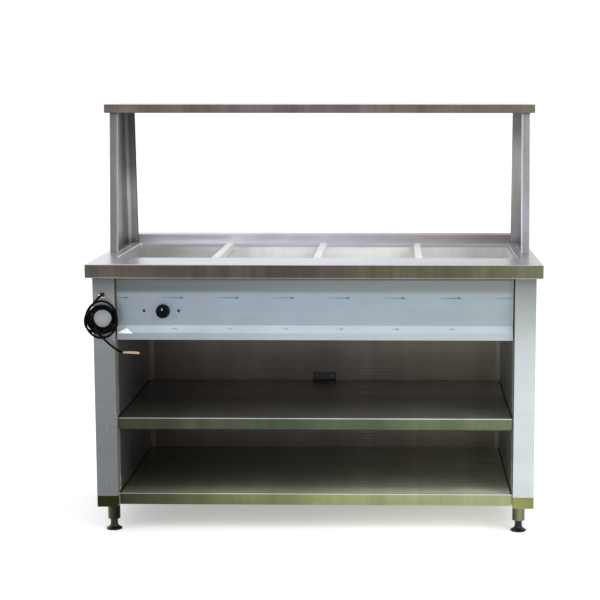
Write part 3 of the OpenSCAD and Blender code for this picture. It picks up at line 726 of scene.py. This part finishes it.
def curve_piece(name, points, radius, material, body=ROOT, replaces=()):
    data = bpy.data.curves.new(name, "CURVE")
    data.dimensions = "3D"
    data.bevel_depth = radius
    data.bevel_resolution = 4
    data.resolution_u = 3
    data.use_fill_caps = True
    spline = data.splines.new("BEZIER")
    spline.bezier_points.add(len(points) - 1)
    for knot, point in zip(spline.bezier_points, points):
        knot.co = point
        knot.handle_left_type = knot.handle_right_type = "AUTO"
    piece = bpy.data.objects.new(name, data)
    bpy.context.scene.collection.objects.link(piece)
    data.materials.append(material)
    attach(piece, body)
    if replaces:
        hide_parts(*replaces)
    return piece


def make_cord():
    line = cord_line()
    start = np.array([GLAND[0], GLAND[1] - GLAND_LEN + 1, GLAND[2]], float)
    line = np.vstack([start, line[np.argmax(line[:, 1] < start[1] - 3):]])
    lead = curve_piece("mains_lead", line * MM, CORD_D / 2 * MM, M["rubber"],
                       replaces=("cord_lead", "cord_coil", "cord_tail"))
    cores = []
    end = Vector(TAIL_ROUTE[-1])
    tip = Vector(WIRE_END)
    for k, name in ((-1, "core_low"), (0, "core_mid"), (1, "core_high")):
        points = []
        for i in range(8):
            t = i / 7
            bow = math.sin(math.pi * t)
            point = end.lerp(tip, t) + Vector((-4 * (1 - t) - 3 * abs(k) * t,
                                               1.6 * k * t + 1.5 * k * bow,
                                               1.7 * k * (1 - t) + 2.2 * k * t + 0.8 * bow))
            points.append(point * MM)
        cores.append(curve_piece(name, points, 1.25 * MM, M["core"],
                                 replaces=("cord_conductors",)))
    cores + [make_tie(line)]


make_camera()
make_stage()
make_light()


# ---------- worktop and overshelf ----------

def rect_of(node, margin=0.0):
    low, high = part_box(node)
    return (low[0] + margin, high[0] - margin, low[1] + margin, high[1] - margin)


def make_worktop():
    outer = rect_of("worktop")
    low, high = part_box("worktop")
    top, bottom = high[2], low[2]
    hole = rect_of("well_tank", SHEET + 0.4 * MM)
    r, lip, corner = 3 * MM, 14 * MM, 5 * MM
    loops = [inset(hole, 0, top - 14 * MM, 4 * MM)]
    loops += bend(hole, 0, top - 2.5 * MM, -2.5 * MM, top, 0, 5 * MM)
    loops += bend(outer, r, top, 0, top - r, 0, corner, outwards=False)
    loops += bend(outer, 0, bottom + r, r, bottom, 0, corner)
    loops += [inset(outer, lip, bottom, 2 * MM), inset(outer, lip, bottom + SHEET, 2 * MM)]
    loops += [inset(outer, SHEET + 1 * MM, bottom + SHEET, 2 * MM)]
    loops += [inset(outer, SHEET, top - SHEET - 1 * MM, 2 * MM)]
    loops += [inset(hole, -SHEET, top - SHEET, 3 * MM), inset(hole, -SHEET, top - 14 * MM, 3 * MM)]

    # The deck and the well's lining take the deck steel, the bottom fold takes the painted highlight, and the
    # rest of the nosing carries painted reflections.
    def paint(face):
        x, y, z = face.calc_center_median()
        in_hole = abs(x) < 700 * MM and abs(y - (hole[2] + hole[3]) / 2) < 280 * MM
        if face.normal.z > 0.5 or z > top - 0.5 * MM or in_hole:
            return 0
        return 2 if z < bottom + 3 * MM else 1

    piece = looped("worktop_sheet", loops, [M["deck"], M["nosing"], M["nosing_highlight"]], True, paint=paint,
                   slot="worktop_steel", replaces=("worktop",))
    weighted(piece)


def make_overshelf():
    outer = rect_of("overshelf")
    low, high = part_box("overshelf")
    top, bottom = high[2], low[2]
    r, lip = 3 * MM, 12 * MM
    loops = [inset(outer, 60 * MM, top, 5 * MM)]
    loops += bend(outer, r, top, 0, top - r, 0, 5 * MM, outwards=False)
    loops += bend(outer, 0, bottom + r, r, bottom, 0, 5 * MM)
    loops += [inset(outer, lip, bottom, 2 * MM), inset(outer, lip, bottom + SHEET, 2 * MM)]
    loops += [inset(outer, 2.5 * MM, bottom + SHEET, 2 * MM)]
    loops += [inset(outer, SHEET, top - 2.5 * MM, 2 * MM), inset(outer, 2.5 * MM, top - SHEET, 2 * MM)]
    loops += [inset(outer, 60 * MM, top - SHEET, 5 * MM)]

    # The top face takes the lit copy of the steel and the front and folds take the dark one; both colours are
    # painted reflection.
    def paint(face):
        return 1 if face.normal.z > 0.5 and face.calc_center_median().z > top - 1 * MM else 0

    piece = looped("overshelf_sheet", loops, [M["overshelf"], M["overshelf_lit_top"]], False, paint=paint,
                   slot="overshelf_steel", replaces=("overshelf",))
    weighted(piece)


def make_upright(side, name):
    node = "upright_" + name
    low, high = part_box(node)
    z0, z1 = low[2], high[2]
    x_out = 735 * MM
    foot = (-15 * MM, 372 * MM)
    head = (38 * MM, 332 * MM)
    sections = []
    for k in range(13):
        t = k / 12
        y0 = foot[0] + (head[0] - foot[0]) * t
        y1 = foot[1] + (head[1] - foot[1]) * t
        line = [(-x_out + 40 * MM, y1), (-x_out, y1), (-x_out, y0), (-x_out + 30 * MM, y0)]
        outline = sheet_outline(line, SHEET * 1.2)
        z = z0 + (z1 - z0) * t
        sections.append([(-side * p.x, p.y, z) for p in outline])
    piece = lofted(node + "_folded", sections, [M["upright"], M["rear_" + name], M["web_" + name], M["fold"]],
                   slot="upright_steel", replaces=(node,))
    # The rear flange and web take this side's copy of the steel, shaded on the left and lit on the right, and the
    # rounded front fold takes a painted highlight.
    for face in piece.data.polygons:
        if face.center.y > 0.29 and abs(face.normal.y) > 0.8:
            face.material_index = 1
        elif abs(face.normal.x) > 0.8 and face.center.y > 0.01 and abs(face.center.x) < x_out - 0.5 * MM:
            face.material_index = 2
        elif 0.2 < abs(face.normal.x) < 0.97 and face.center.y < 0.06:
            face.material_index = 3
    weighted(piece)
    middle = (side * (x_out - 15 * MM), (foot[0] + foot[1]) / 2, z0 + 1 * MM)
    bevelled_box(node + "_foot", middle, (27 * MM, 370 * MM, 2 * MM), 0.5 * MM, M["upright"],
                 slot="upright_steel")


def make_upstand():
    low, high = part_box("rear_upstand")
    y0, y1, z0, z1 = low[1], high[1], low[2], high[2]
    line = [(y1, z0), (y1, z1), (y0, z1 - 6 * MM), (y0, z0)]
    piece = folded_along_x("upstand_folded", line, low[0], high[0], M["upstand"], radius=2.2 * MM,
                           slot="worktop_steel", replaces=("rear_upstand",))
    weighted(piece)


def make_bars():
    for i in (1, 2, 3):
        node = f"divider_bar_{i}"
        low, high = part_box(node)
        x = (low[0] + high[0]) / 2
        w = high[0] - low[0]
        y0, y1 = low[1] + 13 * MM, high[1] - 13 * MM
        line = [(x + w / 2, low[2]), (x + w / 2, high[2]), (x - w / 2, high[2]), (x - w / 2, low[2])]
        outline = sheet_outline(line, SHEET, 3 * MM)
        ys = [y0 + (y1 - y0) * k / 10 for k in range(11)]
        channel = lofted(node + "_channel", [[(p.x, y, p.y) for p in outline] for y in ys], M["bar"],
                         body=f"bar_{i}", slot="worktop_steel", replaces=(node,))
        weighted(channel)
        for end, ya, yb in (("front", low[1], y0 + 2 * MM), ("rear", y1 - 2 * MM, high[1])):
            bevelled_box(f"{node}_tab_{end}", (x, (ya + yb) / 2, high[2] - SHEET / 2),
                         (w - 4 * MM, yb - ya, SHEET), 0.5 * MM, M["bar"], body=f"bar_{i}",
                         slot="worktop_steel")


# ---------- cabinet ----------

def make_posts():
    for node, side, front, back in (("post_front_left", -1, 1, 55), ("post_front_right", 1, 1, 55),
                                    ("post_rear_left", -1, -1, 40), ("post_rear_right", 1, -1, 40)):
        low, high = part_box(node)
        x_out, x_in = 730 * MM, 660 * MM
        y = -375 * MM * front
        line = [(-x_out, y + front * 95 * MM), (-x_out, y), (-x_in, y), (-x_in, y + front * back * MM)]
        outline = sheet_outline(line, SHEET * front, 3 * MM)
        zs = [low[2], 128 * MM] + [128 * MM + (high[2] - 128 * MM) * k / 16 for k in range(1, 17)]
        sections = [[(-side * p.x, p.y, z) for p in outline] for z in zs]
        piece = lofted(node + "_folded", sections, [M["panel"], M["bare"], M["return"]],
                       slot="panel_steel", replaces=(node,))
        # The inner return takes a lighter copy of the steel as a painted reflection.
        for face in piece.data.polygons:
            inner = abs(face.center.x) < x_in + 3 * MM and abs(face.normal.x) > 0.3
            if front == 1 and face.center.z < 0.14:
                face.material_index = 1
            elif inner:
                face.material_index = 2
        weighted(piece)


def make_shelves():
    for node, edge, face_look in (("upper_shelf", "shelf_edge", "shelf_top"),
                                  ("bottom_shelf", "floor_edge", "floor_top")):
        low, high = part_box(node)
        y0, y1, z0, z1 = low[1], high[1], low[2], high[2]
        line = [(y1, z1), (y0, z1), (y0, z0), (y0 + 12 * MM, z0)]
        piece = folded_along_x(node + "_folded", line, low[0], high[0],
                               [M[face_look], M[edge], M["shelf_bend_highlight"]], radius=4 * MM,
                               slot="inner_steel", replaces=(node,))
        # The front face takes the edge steel with its painted reflections, and the front fold takes a painted
        # highlight.
        for face in piece.data.polygons:
            if face.center.y < y0 + 4 * MM and face.center.z < z1 - 3.6 * MM:
                face.material_index = 1
            elif face.center.y < y0 + 4 * MM:
                face.material_index = 2
        # A black strip along each side edge of the shelf top, over the slot beside the liner: painted shade of
        # the slot.
        corner = [(658.3, 0.1), (658.3, 3.7), (656.2, 1.8), (654.2, 0.1)]
        for side, name in ((-1, "left"), (1, "right")):
            shade_strip = bmesh.new()
            ends = []
            for y in (y0 + 2 * MM, y1 - 20 * MM):
                ends.append([shade_strip.verts.new((side * x * MM, y, z1 + z * MM)) for x, z in corner])
                shade_strip.faces.new(ends[-1])
            bridge(shade_strip, ends)
            finish_mesh(f"{node}_seal_{name}", shade_strip, M["slot_shade"], slot="foot_plastic")
        weighted(piece)


def cut_holes(piece, holes, depth=40 * MM):
    """Round holes along Y through a piece; holes are (x, y, z, radius)."""
    turn = Matrix.Rotation(math.pi / 2, 4, "X")
    for x, y, z, radius in holes:
        bm = bmesh.new()
        bmesh.ops.create_cone(bm, cap_ends=True, segments=48, radius1=radius, radius2=radius,
                              depth=depth, matrix=Matrix.Translation((x, y, z)) @ turn)
        mesh = bpy.data.meshes.new("cutter")
        bm.to_mesh(mesh)
        bm.free()
        cutter = bpy.data.objects.new("cutter", mesh)
        bpy.context.scene.collection.objects.link(cutter)
        cut = piece.modifiers.new("hole", "BOOLEAN")
        cut.operation = "DIFFERENCE"
        cut.solver = "EXACT"
        cut.object = cutter
        graph = bpy.context.evaluated_depsgraph_get()
        result = bpy.data.meshes.new_from_object(piece.evaluated_get(graph))
        piece.modifiers.clear()
        piece.data = result
        bpy.data.objects.remove(cutter)


def middle_of(node):
    low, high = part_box(node)
    return [(a + b) / 2 for a, b in zip(low, high)]


KNOB = middle_of("thermostat_shaft")
LAMPS = {"left": middle_of("lamp_lens_left"), "right": middle_of("lamp_lens_right")}
APRON_Y = -345 * MM
POST_Y = -375 * MM
ARROW_PITCH = 183.5 * MM
JOGGLE_TOP, JOGGLE_LOW, LIP_LOW = 701 * MM, 678 * MM, 653 * MM
JOGGLE_OUT = 6 * MM


def make_apron():
    low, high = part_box("front_apron")
    y = APRON_Y
    line = [(y + 16 * MM, high[2]), (y, high[2]), (y, JOGGLE_TOP), (y - JOGGLE_OUT, JOGGLE_LOW),
            (y - JOGGLE_OUT, LIP_LOW), (y + 16 * MM, LIP_LOW)]
    piece = folded_along_x("apron_folded", line, low[0], high[0], M["panel"], slot="panel_steel",
                           replaces=("front_apron",))
    cut_holes(piece, [(KNOB[0], APRON_Y, KNOB[2], 5.3 * MM)]
              + [(p[0], APRON_Y, p[2], 6.1 * MM) for p in LAMPS.values()])
    weighted(piece)


# ---------- protective film ----------

def tone_row(*rgb):
    return (rgb,) * 3


def crumple(x, z, at, size, depth):
    """Sharp folds that fade away from a place."""
    fade = math.exp(-((x - at[0]) / size[0]) ** 2 - ((z - at[1]) / size[1]) ** 2)
    folds = abs(noise.noise(Vector((x * 38, z * 62, 3.1))))
    folds += 0.5 * abs(noise.noise(Vector((x * 90, z * 80, 7.7))))
    return depth * fade * folds


def apron_lift(x, z):
    """How far the apron's film stands off the steel."""
    lift = 0.7 * MM + 0.15 * MM * noise.noise(Vector((x * 5, z * 16, 0.4)))
    lift += crumple(x, z, (-0.622, 0.700), (0.045, 0.022), 3 * MM)
    lift += crumple(x, z, (-0.480, 0.712), (0.060, 0.020), 2.4 * MM)
    fade = math.exp(-((x + 0.44) / 0.05) ** 2 - ((z - 0.728) / 0.025) ** 2)
    return lift + 0.2 * MM * math.sin(240 * (x + 0.9 * z)) * fade


def apron_face(z):
    """Where the apron's front is in Y at a height."""
    if z >= JOGGLE_TOP:
        return APRON_Y
    if z >= JOGGLE_LOW:
        return APRON_Y - JOGGLE_OUT * (JOGGLE_TOP - z) / (JOGGLE_TOP - JOGGLE_LOW)
    return APRON_Y - JOGGLE_OUT


def post_lift(x, z):
    """How far the posts' film stands off the steel."""
    return 0.6 * MM + 0.12 * MM * noise.noise(Vector((x * 16, z * 6, 5.2)))


def on_apron(x, z):
    return x, apron_face(z) - apron_lift(x, z) - 0.25 * MM, z


def on_post(x, z):
    return x, POST_Y - post_lift(x, z) - 0.3 * MM, z


def evenly(low, high, count):
    return [low + (high - low) * k / count for k in range(count + 1)]


def film_sheet(name, xs, zs, depth, holes, material, node):
    """A film as a fine grid with round holes (x, z, radius); depth(i, x, z) is its place in Y."""
    bm = bmesh.new()
    grid = [[bm.verts.new((x, depth(i, x, z), z)) for i, x in enumerate(xs)] for z in zs]
    for low, high in zip(grid, grid[1:]):
        for i in range(len(xs) - 1):
            corners = (low[i], low[i + 1], high[i + 1], high[i])
            if not any(math.hypot(c.co.x - x, c.co.z - z) < r for c in corners for x, z, r in holes):
                bm.faces.new(corners)
    loose = [v for v in bm.verts if not v.link_faces]
    bmesh.ops.delete(bm, geom=loose, context="VERTS")
    finish_mesh(name, bm, material, slot="film", replaces=(node,), sharp=50)


def make_apron_film():
    low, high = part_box("film_apron")
    # Painted light in the bands: each band darkens towards the left end; kick is a painted sky reflection on the
    # kick-out; shade and the two darkest rows at the top are the painted shadow under the worktop's nosing.
    warm = ((124, 130, 134), (158, 167, 174), (164, 173, 176))
    kick = ((164, 175, 185), (179, 190, 201), (176, 187, 197))
    face = ((122, 133, 142), (137, 148, 158), (139, 151, 155))
    shade = ((78, 83, 82), (110, 119, 120), (120, 127, 123))
    bands = [(0.653, warm), (0.675, warm), (0.680, kick), (0.699, kick), (0.704, face), (0.806, face),
             (0.818, shade), (0.850, shade), (0.857, tone_row(58, 60, 58)), (0.862, tone_row(40, 41, 40))]
    holes = [(KNOB[0], KNOB[2], 7 * MM)] + [(p[0], p[2], 6.6 * MM) for p in LAMPS.values()]
    film_sheet("apron_film_sheet", evenly(low[0], high[0], 420), evenly(LIP_LOW + 1 * MM, high[2], 96),
               lambda i, x, z: apron_face(z) - apron_lift(x, z), holes,
               film_material("apron_film", bands), "film_apron")


def arrow_patch(bm, at, along, length, width, surface, head=12 * MM):
    """A printed arrow; surface(x, z) gives the point to print on."""
    def strip(stations):
        ends = []
        for u, half in stations:
            x, z = at[0] + along[0] * u, at[1] + along[1] * u
            ends.append([bm.verts.new(surface(x - along[1] * v, z + along[0] * v)) for v in (-half, half)])
        for a, b in zip(ends, ends[1:]):
            bm.faces.new((a[0], b[0], b[1], a[1]))

    shaft = length - head
    strip([(shaft * k / 10, width / 2 * (0.35 + 0.065 * k)) for k in range(11)])
    if head:
        strip([(shaft + head * k / 3, 1.45 * width * (1 - k / 3) + 0.05 * MM) for k in range(4)])


def make_print():
    pitch, length, edge = ARROW_PITCH, 76 * MM, 655 * MM
    z, tip = 794 * MM, -431.6 * MM
    bm = bmesh.new()
    for k in range(-1, 7):
        start = max(tip - length + k * pitch, -edge)
        end = tip + k * pitch
        if end < edge:
            arrow_patch(bm, (start, z), (1, 0), end - start, 2.9 * MM, on_apron)
        elif start < edge:
            arrow_patch(bm, (start, z), (1, 0), edge - start, 2.2 * MM, on_apron, head=0)
    finish_mesh("film_arrows", bm, M["print"], slot="film")
    # The lower row is printed on the kick-out; its lighter ink is a painted highlight.
    bm = bmesh.new()
    for k in range(6):
        arrow_patch(bm, (-478 * MM + k * pitch, 691 * MM), (1, 0), 26 * MM, 3 * MM, on_apron)
    finish_mesh("film_arrows_low", bm, M["print_lit"], slot="film")


def make_film_flaps():
    """Two creased corners of film that stand off the steel; their near-white colour is a painted highlight."""
    def flap(name, outline, base_y, lift):
        bm = bmesh.new()
        middle = sum((Vector(p) for p in outline), Vector((0, 0))) / len(outline)
        rings = []
        for share in (1.0, 0.75, 0.5, 0.25):
            ring = []
            for x, z in outline:
                px, pz = middle.x + (x - middle.x) * share, middle.y + (z - middle.y) * share
                rise = lift * (1 - share) + 0.5 * noise.noise(Vector((px * 0.2, pz * 0.2, 1.3)))
                ring.append(bm.verts.new((px * MM, (base_y - rise - 1.0) * MM, pz * MM)))
            rings.append(ring)
        bridge(bm, rings)
        bm.faces.new(rings[-1])
        finish_mesh(name, bm, M["film_flap_highlight"], slot="film", sharp=20)

    flap("film_flap_apron", [(-654, 675), (-640, 676), (-624, 675), (-602, 675.5), (-612, 684), (-621, 694),
                             (-632, 689), (-644, 683)], -354, 2.2)
    flap("film_flap_gland", [(-718, 818), (-709, 812), (-700, 803), (-689, 796), (-697, 797), (-709, 798),
                             (-719, 805), (-722, 812)], -375, 1.6)


def make_post_films():
    low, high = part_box("film_posts")
    # Painted light in the bands: the left post is the shaded copy and the right the lit one; the left lightens
    # round the coil as a painted highlight, and both darken towards the top as painted shade under the worktop.
    left = [(0.13, tone_row(95, 97, 99)), (0.30, tone_row(95, 98, 100)), (0.60, tone_row(104, 107, 111)),
            (0.67, tone_row(118, 121, 124)), (0.73, tone_row(146, 149, 151)), (0.79, tone_row(128, 130, 130)),
            (0.83, tone_row(96, 98, 98)), (0.864, tone_row(70, 72, 72))]
    right = [(0.13, tone_row(187, 194, 194)), (0.30, tone_row(187, 194, 194)), (0.60, tone_row(178, 185, 186)),
             (0.80, tone_row(132, 137, 134)), (0.864, tone_row(102, 106, 102))]
    columns = 30

    def depth(i, x, z):
        lift = post_lift(x, z)
        if x < 0:
            lift += crumple(x, z, (-0.712, 0.822), (0.022, 0.022), 7 * MM)
        return POST_Y - lift * min(1.0, 0.35 + 12 * min(i, columns - i) / columns)

    gland_hole = [(GLAND[0] * MM, GLAND[2] * MM, 8 * MM)]
    for name, side, bands, holes in (("post_film_left", -1, left, gland_hole),
                                     ("post_film_right", 1, right, [])):
        film_sheet(name, evenly(side * 660.5 * MM, side * 729.5 * MM, columns),
                   evenly(low[2], high[2], 200), depth, holes,
                   film_material(name, bands, shine=0.3), "film_posts")


def make_post_print():
    bm = bmesh.new()
    for k in range(3):
        start = (-690 * MM - 3 * k * MM, 600 * MM - k * ARROW_PITCH)
        arrow_patch(bm, start, (0, -1), 70 * MM, 2 * MM, on_post)
    finish_mesh("post_arrows", bm, plastic("post_print_ink", (104, 118, 130), rough=0.35), slot="film")


# ---------- controls ----------

def make_knob():
    low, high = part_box("control_knob")
    back, front = high[1], low[1]
    r = (high[0] - low[0]) / 2 / MM
    depth = (back - front) / MM
    grip = r - 2.5

    def flutes(angle, height):
        if height < 6.35 or height > depth - 1.2:
            return 1
        return 1 - 0.045 * (0.5 + 0.5 * math.cos(18 * angle)) ** 3

    profile = [(r - 0.8, 0), (r, 0.8), (r, 3.4), (r - 0.5, 4.4), (grip + 1, 5.2), (grip, 6.4),
               (grip, 9), (grip, 14), (grip, depth - 2.2), (grip - 0.4, depth - 1.1),
               (grip - 1.3, depth - 0.3), (grip - 2.4, depth), (grip - 4, depth - 0.35),
               (grip - 9, depth - 0.6), (2, depth - 0.6)]
    turned("knob_turned", profile, (KNOB[0], back, KNOB[2]), (0, -1, 0), M["gloss"], flutes=flutes,
           steps=144, body="knob", slot="knob_plastic", replaces=("control_knob",))
    bevelled_box("knob_ridge", (KNOB[0], front + 0.7 * MM, KNOB[2]), (6.5 * MM, 2.6 * MM, 31 * MM),
                 0.9 * MM, M["gloss"], segments=3, taper=0.62, body="knob", slot="knob_plastic")
    bevelled_box("knob_mark", (KNOB[0], front - 0.75 * MM, KNOB[2] + 9 * MM), (1.6 * MM, 0.3 * MM, 9 * MM),
                 0.1 * MM, M["white"], segments=1, body="knob", slot="white_plastic",
                 replaces=("knob_pointer",))


def make_lamps():
    bezel = [(5.2, -28), (6, -28), (6, 0.3), (7.3, 0.4), (7.6, 0.9), (7.5, 2.0), (6.8, 2.8),
             (5.9, 2.9), (5.25, 2.4), (5.2, -1.8)]
    dome = [(5.1, -1.7), (5.1, 2.2)]
    for k in range(1, 7):
        angle = math.pi / 2 * k / 7
        dome.append((5.1 * math.cos(angle), 2.2 + 1.8 * math.sin(angle)))
    for side, place in LAMPS.items():
        base = (place[0], APRON_Y, place[2])
        turned(f"lamp_{side}_bezel", bezel, base, (0, -1, 0), M["bezel"], steps=48, slot="bezel",
               replaces=(f"lamp_{side}",))
        turned(f"lamp_{side}_dome", dome, base, (0, -1, 0), M["lens"], steps=48, slot="lens",
               replaces=(f"lamp_lens_{side}",))


# ---------- legs, feet and gland ----------

def make_feet():
    for i in (1, 2, 3, 4):
        low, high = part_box(f"foot_{i}")
        x, y = (low[0] + high[0]) / 2, (low[1] + high[1]) / 2
        r = (high[0] - low[0]) / 2 / MM
        stem = 12.5
        profile = [(r - 3, 0), (r - 0.8, 0.5), (r, 1.8), (r, 4), (r - 1.2, 5.6), (r - 4, 7),
                   (r - 8, 9), (r - 11, 11.5), (13.6, 15), (stem, 19)]
        for k in range(7):
            z = 20 + 2.4 * k
            profile += [(stem, z), (stem - 0.4, z + 1.2)]
        profile += [(stem, 40), (stem, 119), (stem - 1, 120)]
        turned(f"foot_{i}_turned", profile, (x, y, 0), (0, 0, 1), M["foot"], body=f"foot_{i}",
               slot="foot_plastic", replaces=(f"foot_{i}",))


def make_gland():
    """The nut and the tapered boot where the lead leaves the post."""
    boot = [(6.6, 0.4), (7.2, 1.2), (7.2, 3.2), (6.3, 4.2), (6.2, 8), (6.0, 9.5), (5.7, 12),
            (5.3, 15), (4.9, 18), (4.5, 20.6), (3.85, 20.9), (3.85, -6), (5.9, -6), (5.9, 0.4)]

    def ribs(angle, height):
        return 1 + (0.035 * math.cos(14 * angle) if 4.25 < height < 9 else 0)

    turned("gland_nut", boot, Vector(GLAND) * MM, (0, -1, 0), M["black"], flutes=ribs, steps=84,
           slot="knob_plastic", replaces=("cable_gland",))


def make_tie(line):
    """A thin strap round the coil's strands, where the coil is tied."""
    angle = math.radians(-25)
    centre = np.array(COIL_C, float)
    radial = np.array([math.cos(angle), 0, math.sin(angle)])
    tangent = np.array([-math.sin(angle), 0, math.cos(angle)])
    spots = []
    offset = line - centre
    lined = offset @ tangent
    for i in range(len(offset) - 1):
        if lined[i] * lined[i + 1] <= 0 and offset[i] @ radial > 0:
            t = lined[i] / (lined[i] - lined[i + 1] + 1e-12)
            p = offset[i] + t * (offset[i + 1] - offset[i])
            spots.append((p @ radial, p[1]))
    spots = [s for s in spots if s[0] < 62 and s[1] > -14]
    around = []
    reach = CORD_D / 2 + 0.7
    for k in range(48):
        a = 2 * math.pi * k / 48
        d = np.array([math.cos(a), math.sin(a)])
        far = max(np.dot(s, d) for s in spots) + reach
        around.append((a, far))
    middle = np.mean(spots, axis=0)
    bm = bmesh.new()
    rings = []
    for a, far in around:
        d = np.array([math.cos(a), math.sin(a)])
        far = far - np.dot(middle, d)
        ring = []
        for thick, wide in ((0, -1.8), (0, 1.8), (1.1, 1.8), (1.1, -1.8)):
            flat = middle + d * (far + thick)
            point = centre + radial * flat[0] + np.array([0, flat[1], 0]) + tangent * wide
            point[1] = min(point[1], GLAND[1] - 0.5)
            ring.append(bm.verts.new(Vector(point * MM)))
        rings.append(ring)
    bridge(bm, rings + rings[:1])
    return finish_mesh("coil_tie", bm, M["black"], slot="knob_plastic", replaces=("cord_tie",))


def dress_cad_nodes():
    """Materials for the CAD nodes that stay as they are."""
    looks = {
        "well_tank": "well", "well_floor": "well", "heating_element_1": "element", "heating_element_2": "element",
        "thermostat_shaft": "fastener", "thermostat_bulb": "copper", "internal_wiring": "wiring",
        "under_tank_cover": "back", "back_panel": "back", "side_panel_left": "panel",
        "side_panel_right": "panel", "side_liner_left": "liner", "side_liner_right": "liner",
        "stiffeners": "back", "corner_angles": "angle", "drain_pipe": "fastener"}
    for node, look in looks.items():
        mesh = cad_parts[node].data
        if not mesh.materials:
            mesh.materials.append(M[look])
        for i in range(len(mesh.materials)):
            mesh.materials[i] = M[look]


def soften_small_parts():
    for node, look, width in (("element_flanges", "brass", 0.6), ("thermostat_body", "white", 0.8),
                              ("terminal_block", "white", 0.6), ("drain_valve_body", "brass", 0.6),
                              ("rear_bracket", "bracket", 0.4), ("assembly_screws", "fastener", 0.2)):
        softened(node, M[look], width * MM)
    softened("drain_valve_lever", M["red"], 0.8 * MM, body="drain_lever")
    for i in (1, 2, 3, 4):
        softened(f"leg_{i}", M["leg"], 0.5 * MM)


make_worktop()
make_overshelf()
make_upright(-1, "left")
make_upright(1, "right")
make_upstand()
make_bars()
make_posts()
make_shelves()
make_apron()
make_apron_film()
make_print()
make_post_films()
make_post_print()
make_film_flaps()
make_knob()
make_lamps()
make_feet()
make_gland()
make_cord()
dress_cad_nodes()
soften_small_parts()
